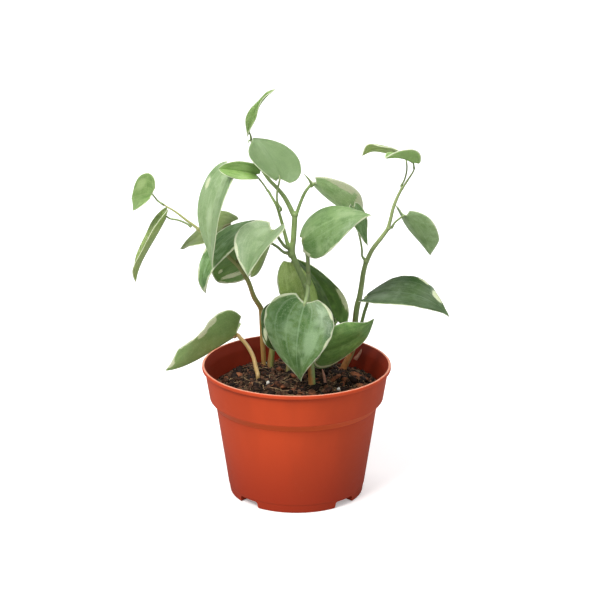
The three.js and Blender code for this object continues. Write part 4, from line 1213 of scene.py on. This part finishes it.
def midrib(leaf):
    """Places, directions and upper sides along a blade's midrib."""
    heading, rise, roll = np.radians(leaf.turns)
    droop, curl, sway, twist = np.radians(leaf.bends)
    level = math.cos(rise)
    along = np.asarray((level * math.cos(heading), level * math.sin(heading), math.sin(rise)))
    upper = turn_about(unit((0, 0, 1) - along * along[2]), along, roll)
    place = np.asarray(leaf.base, float)
    found = [(place, along, upper)]
    step = 1 / MIDRIB_STEPS
    for i in range(MIDRIB_STEPS):
        t = (i + 0.5) * step
        side = np.cross(along, upper)
        bend = (droop + curl * 3 * t * t) * step
        before = along
        along, upper = turn_about(along, side, -bend), turn_about(upper, side, -bend)
        along = unit(turn_about(along, upper, -sway * step))
        upper = turn_about(upper, along, twist * step)
        upper = unit(upper - along * np.dot(along, upper))
        place = place + (before + along) * 0.5 * step * leaf.size[0]
        found.append((place, along, upper))
    return [np.asarray(column) for column in zip(*found)]


def smooth_rows(table, at):
    """Rows of a table at places between them, on a smooth curve through them."""
    padded = np.vstack([2 * table[0] - table[1], table, 2 * table[-1] - table[-2]])
    i = np.minimum(at.astype(int), len(table) - 2)
    u = (at - i)[:, None]
    a, b, c, d = (padded[i + k] for k in range(4))
    return 0.5 * (2 * b + (c - a) * u + (2 * a - 5 * b + 4 * c - d) * u**2 + (3 * b - a - 3 * c + d) * u**3)


def distance_to(line, places):
    """Smallest distance from flat places to a line of flat points."""
    a, b = line[:-1][None], line[1:][None]
    ahead = b - a
    share = np.sum((places[:, None] - a) * ahead, -1) / np.maximum(np.sum(ahead**2, -1), 1e-9)
    nearest = a + np.clip(share, 0, 1)[..., None] * ahead
    return np.min(np.linalg.norm(places[:, None] - nearest, axis=-1), axis=1)


def blade_places(leaf, t, s, seed):
    """The blade's middle surface, its half widths and its flat pattern, over rows t and columns s."""
    ribs, alongs, uppers = midrib(leaf)
    at = t[:, 0] * MIDRIB_STEPS
    place, along, upper = smooth_rows(ribs, at), unit(smooth_rows(alongs, at)), smooth_rows(uppers, at)
    upper = unit(upper - along * np.sum(along * upper, axis=1, keepdims=True))
    place, along, upper, side = (row[:, None] for row in (place, along, upper, np.cross(along, upper)))
    length, width, lobe = leaf.size
    cup, fold, skew = leaf.cup
    wave, phase = leaf.wave
    uneven = 1 + leaf.ragged * ripple(t * 34, 0, 0, seed + 0.5)
    half = np.maximum(TIP_HALF_WIDTH, width / 2 * outline_share(leaf.outline, t) * uneven)
    reach, sign = np.abs(s), np.sign(s)
    bend = np.radians(np.where(sign > 0, cup + skew, cup - skew))
    bend = np.where(np.abs(bend) < 1e-4, 1e-4, bend)
    fold = math.radians(fold)
    sideways = (np.sin(fold + bend * reach) - np.sin(fold)) / bend * half
    height = (np.cos(fold) - np.cos(fold + bend * reach)) / bend * half
    calm = np.minimum(1, half / (width / 4))
    height = height + wave * reach**2 * np.sin(3 * math.pi * t + math.radians(phase) * sign) * calm
    back = lobe * length * reach**1.5 * (1 - t) ** 3
    middle = place + side * (sideways * sign)[..., None] + upper * height[..., None] - along * back[..., None]
    flat = np.stack(np.broadcast_arrays(s * half, length * t - back), -1)
    return middle, half, flat.reshape(-1, 2), (ribs[0], alongs[0], uppers[0])


def spots(places, t, s):
    """How strongly round spots show over rows t and columns s of a blade."""
    found = np.zeros(np.broadcast(t, s).shape)
    for at_t, at_s, long, wide, strong in places:
        found += strong * np.exp(-(((t - at_t) / long) ** 2 + ((s - at_s) / wide) ** 2))
    return found


def blade(leaf, seed):
    """The blade as a closed solid, the values that its tissue reads, and where its midrib starts."""
    u = np.linspace(0, 1, ROWS)[:, None]
    t = 0.45 * u + 0.55 * (0.5 - 0.5 * np.cos(math.pi * u))
    v = np.linspace(-1, 1, 2 * COLUMNS + 1)[None]
    s = np.sign(v) * (0.5 * np.abs(v) + 0.5 * np.sin(math.pi / 2 * np.abs(v)))
    middle, half, flat, start = blade_places(leaf, t, s, seed)
    normal = unit(np.cross(np.gradient(middle, axis=1), np.gradient(middle, axis=0)))
    ring = rim_of(*middle.shape[:2])[0]
    edge = distance_to(flat[np.append(ring, ring[0])], flat).reshape(middle.shape[:2])
    full = 1 - (1 - np.clip(edge / RIM_TAPER, 0, 1)) ** 2
    thick = (RIM_THICKNESS + (BLADE_THICKNESS - RIM_THICKNESS) * full) / 2
    fade = (1 - t) ** 0.6 * full
    rib = np.exp(-((np.abs(s) * half / (VEIN_WIDTH * 1.5)) ** 2))
    side_rib = sum(np.exp(-(((np.abs(s) - c) * half / VEIN_WIDTH) ** 2)) for c in SIDE_VEINS)
    dent = VEIN_DENT * fade * (rib + 0.7 * side_rib)
    keel = VEIN_KEEL * fade * (rib + 0.25 * side_rib)
    outward = np.zeros_like(middle)
    outward[:, [0, -1]] += middle[:, [0, -1]] - middle[:, [1, -2]]
    outward[[0, -1]] += middle[[0, -1]] - middle[[1, -2]]
    rim = (middle + unit(outward) * RIM_THICKNESS * 0.45).reshape(-1, 3)[ring]
    upper, lower = middle + normal * (thick - dent)[..., None], middle - normal * (thick + keel)[..., None]
    fields = {"edge": edge, "across": s, "along": leaf.size[0] * t}
    fields |= {"pale": spots(leaf.patches, t, s), "cloud": spots(leaf.clouds, t, s)}
    marks = {"under": np.concatenate([np.zeros(edge.size), np.ones(edge.size), np.full(len(ring), 0.3)])}
    for key, field in fields.items():
        field = np.broadcast_to(field, edge.shape).ravel()
        marks[key] = np.concatenate([field, field, field[ring]])
    return slab(upper, lower, rim), marks, start


def stalk(leaf, base, along, upper):
    """The leaf's stalk, widest where it leaves the stem, running on under the blade."""
    under = base + along * STALK_UNDER_BLADE - upper * 0.4
    points = [np.asarray(p, float) for p in leaf.stalk] + [base - upper * 0.12, under]
    if not leaf.rooted:
        points[0] = points[0] + unit(points[0] - points[1]) * STALK_IN_STEM
    line = curve_through(points, 8)
    share = lengths_along(line)
    radii = leaf.stalk_radius * (1 - 0.15 * share)
    if not leaf.rooted:
        radii = radii * (1 + 0.3 * np.exp(-((share * np.linalg.norm(line[-1] - line[0]) / 1.2) ** 2)))
    return tube(line, radii, STALK_SIDES)


def build_leaves(settings):
    """Every leaf: its blade with its own tissue, and its stalk."""
    skins = {key: stem_material("stalk_" + key, *values) for key, values in STALK_SKINS.items()}
    for number, (name, leaf) in enumerate(LEAVES.items()):
        (places, faces), marks, start = blade(leaf, number)
        shell = Shell()
        shell.add(places, faces, **marks)
        shell.add(*stalk(leaf, *start))
        parts = [0] * len(faces) + [1] * (len(shell.faces) - len(faces))
        materials = [leaf_material(name, leaf, settings, number * SEED_STEP), skins[leaf.skin]]
        shell.make("grown_" + name, materials, node=name, parts=parts)


# ---------------------------------------------------------------- stage


def soft_sun(name, side, rise, strength, spread, colour):
    """Even light from one side of the camera's view and a rise above the floor, in degrees."""
    lamp = bpy.data.lights.new(name, "SUN")
    lamp.energy, lamp.angle, lamp.color = strength, math.radians(spread), colour
    lamp_object = bpy.data.objects.new(name, lamp)
    lamp_object.rotation_euler = (math.radians(90 - rise), 0, math.radians(side))
    bpy.context.scene.collection.objects.link(lamp_object)


def build_stage(settings):
    """Pale floor, soft light and the camera."""
    scene = bpy.context.scene
    scene.view_settings.view_transform = "Standard"
    material, sheet, shader = new_material("pale_floor")
    looked_at = sheet.node("ShaderNodeLightPath", (), "Is Camera Ray")
    dust = sheet.noise(sheet.place(), 9, 3)
    pale = sheet.mix(dust, settings.floor_colour, np.asarray(settings.floor_colour) * 0.985)
    sheet.put(shader["Base Color"], sheet.mix(looked_at, settings.floor_glow, pale))
    sheet.put(shader["Roughness"], 0.9)
    sheet.put(shader["Emission Color"], sheet.mix(looked_at, (0.0, 0.0, 0.0), settings.floor_lift))
    sheet.put(shader["Emission Strength"], 1.0)
    far = settings.floor_size / 2
    corners = [(-far, -far, 0), (far, -far, 0), (far, far, 0), (-far, far, 0)]
    floor = make_piece("floor", corners, [(0, 1, 2, 3)], [material])
    world = bpy.data.worlds.new("studio")
    world.use_nodes = True
    sheet = Sheet(world.node_tree)
    sky = world.node_tree.nodes["Background"].inputs
    sheet.put(sky["Color"], settings.sky_colour)
    seen = sheet.node("ShaderNodeLightPath", (), "Is Camera Ray")
    sheet.put(sky["Strength"], seen.step(0.0, 1.0, settings.sky, settings.backdrop))
    scene.world = world
    soft_sun("key", -40, 50, settings.key, 26, (1, 0.98, 0.95))
    soft_sun("fill", 30, 40, settings.fill, 50, (0.95, 0.98, 1))
    soft_sun("back", 160, 66, settings.back, 40, (1, 1, 1))
    camera = bpy.data.cameras.new("camera")
    camera.lens, camera.sensor_width, camera.shift_x = settings.lens, 36, settings.shift
    camera.clip_start, camera.clip_end = 0.05, 50
    camera_object = bpy.data.objects.new("camera", camera)
    camera_object.location = (0, -settings.distance, settings.height)
    camera_object.rotation_euler = (math.pi / 2 - settings.dip, 0, 0)
    scene.collection.objects.link(camera_object)
    scene.camera = camera_object


# ---------------------------------------------------------------- add-on


def colour_setting(name, description, start):
    """A colour setting, from #rrggbb or from one share for all three channels."""
    start = tone(start) if isinstance(start, str) else (start,) * 3
    return FloatVectorProperty(
        name=name, description=description, subtype="COLOR", size=3, min=0, max=1, default=start
    )


def share_setting(name, description, start, low=0, high=1):
    """A setting between none and full."""
    return FloatProperty(
        name=name, description=description, subtype="FACTOR", min=low, max=high, default=start
    )


def length_setting(name, description, start, low, high):
    """A length in metres."""
    return FloatProperty(
        name=name, description=description, unit="LENGTH", subtype="DISTANCE", min=low, max=high,
        default=start, precision=5,
    )


def count_setting(name, description, start, high):
    """How many of something."""
    return IntProperty(name=name, description=description, min=0, max=high, default=start)


def strength_setting(name, description, start):
    """Strength of a light."""
    return FloatProperty(name=name, description=description, min=0, default=start)


class PEPEROMIA_PG_pot(bpy.types.PropertyGroup):
    """Finish of the pot."""

    plastic: colour_setting("Plastic", "Main colour of the pot", "#da4f25")
    plastic_low: colour_setting("Lower plastic", "Colour near the foot, darker from the collar down", "#b4391c")
    # The colour under the collar is painted bounce light on faces that look down.
    plastic_painted_bounce: colour_setting("Under the collar", "Colour of faces that look down", "#ff6a2e")
    # The inner colour is painted shade for the shadow inside the pot.
    plastic_painted_inner_shade: colour_setting("Inner plastic", "Colour inside, painted shade of the inner wall", "#852710")
    plastic_deep: colour_setting("Deeper plastic", "Colour in the clouds of the plastic", "#b23f1e")
    # The pale colour is the plastic's wear in its scuffs and a painted highlight on faces that look up.
    plastic_scuff_and_highlight: colour_setting("Scuffs and painted highlight", "Colour of scuffs and upward edges", "#e2a085")
    roughness: share_setting("Roughness", "How matt the plastic is", 0.48, 0.1, 0.9)


class PEPEROMIA_PG_soil(bpy.types.PropertyGroup):
    """Colours of the potting mix and how much lies on it."""

    dark: colour_setting("Dark", "Damp grains", "#160a04")
    light: colour_setting("Light", "Drier grains", "#664633")
    bark_dark: colour_setting("Dark bark", "Darkest bark chips", "#1d0e08")
    bark_light: colour_setting("Light bark", "Lightest bark chips", "#935a3a")
    fibre: colour_setting("Fibre", "Lightest coir fibres", "#b09470")
    crumbs: count_setting("Crumbs", "Number of crumbs", 1500, 3000)
    chips: count_setting("Chips", "Number of bark chips", 210, 600)
    fibres: count_setting("Fibres", "Number of fibres", 380, 1000)
    seed: count_setting("Seed", "Changes how the litter falls", 7, 999)


class PEPEROMIA_PG_stems(bpy.types.PropertyGroup):
    """How finely the stems are made."""

    skin_detail: length_setting("Skin detail", "Grid on which runs grow together", 0.00028, 0.0001, 0.001)
    sheath_dark: colour_setting("Dark sheath", "Darker dry sheath", "#6d3f2c")
    sheath_light: colour_setting("Light sheath", "Lighter dry sheath", "#d3a088")


class PEPEROMIA_PG_leaves(bpy.types.PropertyGroup):
    """Finish of the blades."""

    cream: colour_setting("Cream", "Colour of the leaf edges", "#ccd6ae")
    margin: length_setting("Margin", "Usual width of the cream edge", 0.0005, 0, 0.005)
    veins: share_setting("Veins", "How strongly the veins show", 0.35)
    streaks: share_setting("Streaks", "How strongly the pale lines show", 0.3)
    # Mottle also sets how strong the painted sheen on the blades is.
    mottle: share_setting("Mottle", "How clouded the green is", 0.7)
    under: share_setting("Underside", "How much paler the undersides are", 0.6)


class PEPEROMIA_PG_stage(bpy.types.PropertyGroup):
    """Floor, lights and camera."""

    floor_colour: colour_setting("Floor", "Colour of the floor", 0.9)
    floor_glow: colour_setting("Floor glow", "Colour of the light that the floor throws back", 0.25)
    floor_lift: colour_setting("Floor lift", "Brightness that makes the floor's shadow faint", 0.28)
    floor_size: length_setting("Floor size", "Length of the floor's sides", 30.0, 1, 60)
    sky_colour: colour_setting("Surround", "Colour of the light from all round", 1.0)
    sky: strength_setting("Surround light", "Strength of the light from all round", 0.45)
    backdrop: strength_setting("Backdrop", "How bright the backdrop looks", 1.0)
    key: strength_setting("Key light", "Strength of the light from the left", 2.6)
    fill: strength_setting("Fill light", "Strength of the light from the right", 0.6)
    back: strength_setting("Back light", "Strength of the light from behind", 1.1)
    lens: FloatProperty(name="Lens", description="Focal length", unit="CAMERA", min=10, default=117.87)
    shift: FloatProperty(
        name="Shift", description="Sideways shift of the picture", default=0.0058, precision=4
    )
    distance: length_setting("Distance", "From the pot's axis to the camera", 1.0, 0.1, 10)
    height: length_setting("Height", "Of the camera above the floor", 0.4272, 0, 10)
    dip: FloatProperty(
        name="Dip", description="How far the camera looks down", unit="ROTATION", subtype="ANGLE",
        default=math.radians(17.71),
    )


class PEPEROMIA_OT_stage(bpy.types.Operator):
    """Lay the floor, place the lights and set the camera"""

    bl_idname = "peperomia.stage"
    bl_label = "Build Stage"

    def execute(self, context):
        build_stage(context.scene.peperomia_stage)
        return {"FINISHED"}


class PEPEROMIA_OT_pot(bpy.types.Operator):
    """Turn the pot with its collar, lip and drain notches"""

    bl_idname = "peperomia.pot"
    bl_label = "Build Pot"

    def execute(self, context):
        build_pot(context.scene.peperomia_pot)
        return {"FINISHED"}


class PEPEROMIA_OT_soil(bpy.types.Operator):
    """Fill the pot with potting mix"""

    bl_idname = "peperomia.soil"
    bl_label = "Build Soil"

    def execute(self, context):
        build_soil_group()
        build_soil(context.scene.peperomia_soil)
        return {"FINISHED"}


class PEPEROMIA_OT_litter(bpy.types.Operator):
    """Scatter crumbs, bark, fibres and beads on the mix"""

    bl_idname = "peperomia.litter"
    bl_label = "Scatter Litter"

    def execute(self, context):
        build_litter(context.scene.peperomia_soil)
        return {"FINISHED"}


class PEPEROMIA_OT_stems(bpy.types.Operator):
    """Grow the shoots and the cut stem bases"""

    bl_idname = "peperomia.stems"
    bl_label = "Build Stems"

    def execute(self, context):
        build_stem_group()
        build_stems(context.scene.peperomia_stems)
        build_sheaths(context.scene.peperomia_stems)
        return {"FINISHED"}


class PEPEROMIA_OT_leaves(bpy.types.Operator):
    """Grow the leaves on their stalks"""

    bl_idname = "peperomia.leaves"
    bl_label = "Build Leaves"

    def execute(self, context):
        build_leaf_group()
        build_leaves(context.scene.peperomia_leaves)
        return {"FINISHED"}


SETTINGS = {
    "peperomia_stage": PEPEROMIA_PG_stage,
    "peperomia_pot": PEPEROMIA_PG_pot,
    "peperomia_soil": PEPEROMIA_PG_soil,
    "peperomia_stems": PEPEROMIA_PG_stems,
    "peperomia_leaves": PEPEROMIA_PG_leaves,
}
STEPS = (
    PEPEROMIA_OT_stage,
    PEPEROMIA_OT_pot,
    PEPEROMIA_OT_soil,
    PEPEROMIA_OT_litter,
    PEPEROMIA_OT_stems,
    PEPEROMIA_OT_leaves,
)


class PEPEROMIA_PT_build(bpy.types.Panel):
    """Lists the settings and the steps"""

    bl_label = "Potted Peperomia"
    bl_idname = "PEPEROMIA_PT_build"
    bl_space_type = "VIEW_3D"
    bl_region_type = "UI"
    bl_category = "Peperomia"

    def draw(self, context):
        for name, group in SETTINGS.items():
            box = self.layout.box()
            for key in group.__annotations__:
                box.prop(getattr(context.scene, name), key)
        for step in STEPS:
            self.layout.operator(step.bl_idname)


CLASSES = (*SETTINGS.values(), *STEPS, PEPEROMIA_PT_build)


def register():
    for entry in CLASSES:
        bpy.utils.register_class(entry)
    for name, group in SETTINGS.items():
        setattr(bpy.types.Scene, name, PointerProperty(type=group))


def unregister():
    for name in SETTINGS:
        delattr(bpy.types.Scene, name)
    for entry in reversed(CLASSES):
        bpy.utils.unregister_class(entry)


def main():
    register()
    bpy.ops.peperomia.stage()
    bpy.ops.peperomia.pot()
    bpy.ops.peperomia.soil()
    bpy.ops.peperomia.litter()
    bpy.ops.peperomia.stems()
    bpy.ops.peperomia.leaves()


if __name__ == "__main__":
    main()
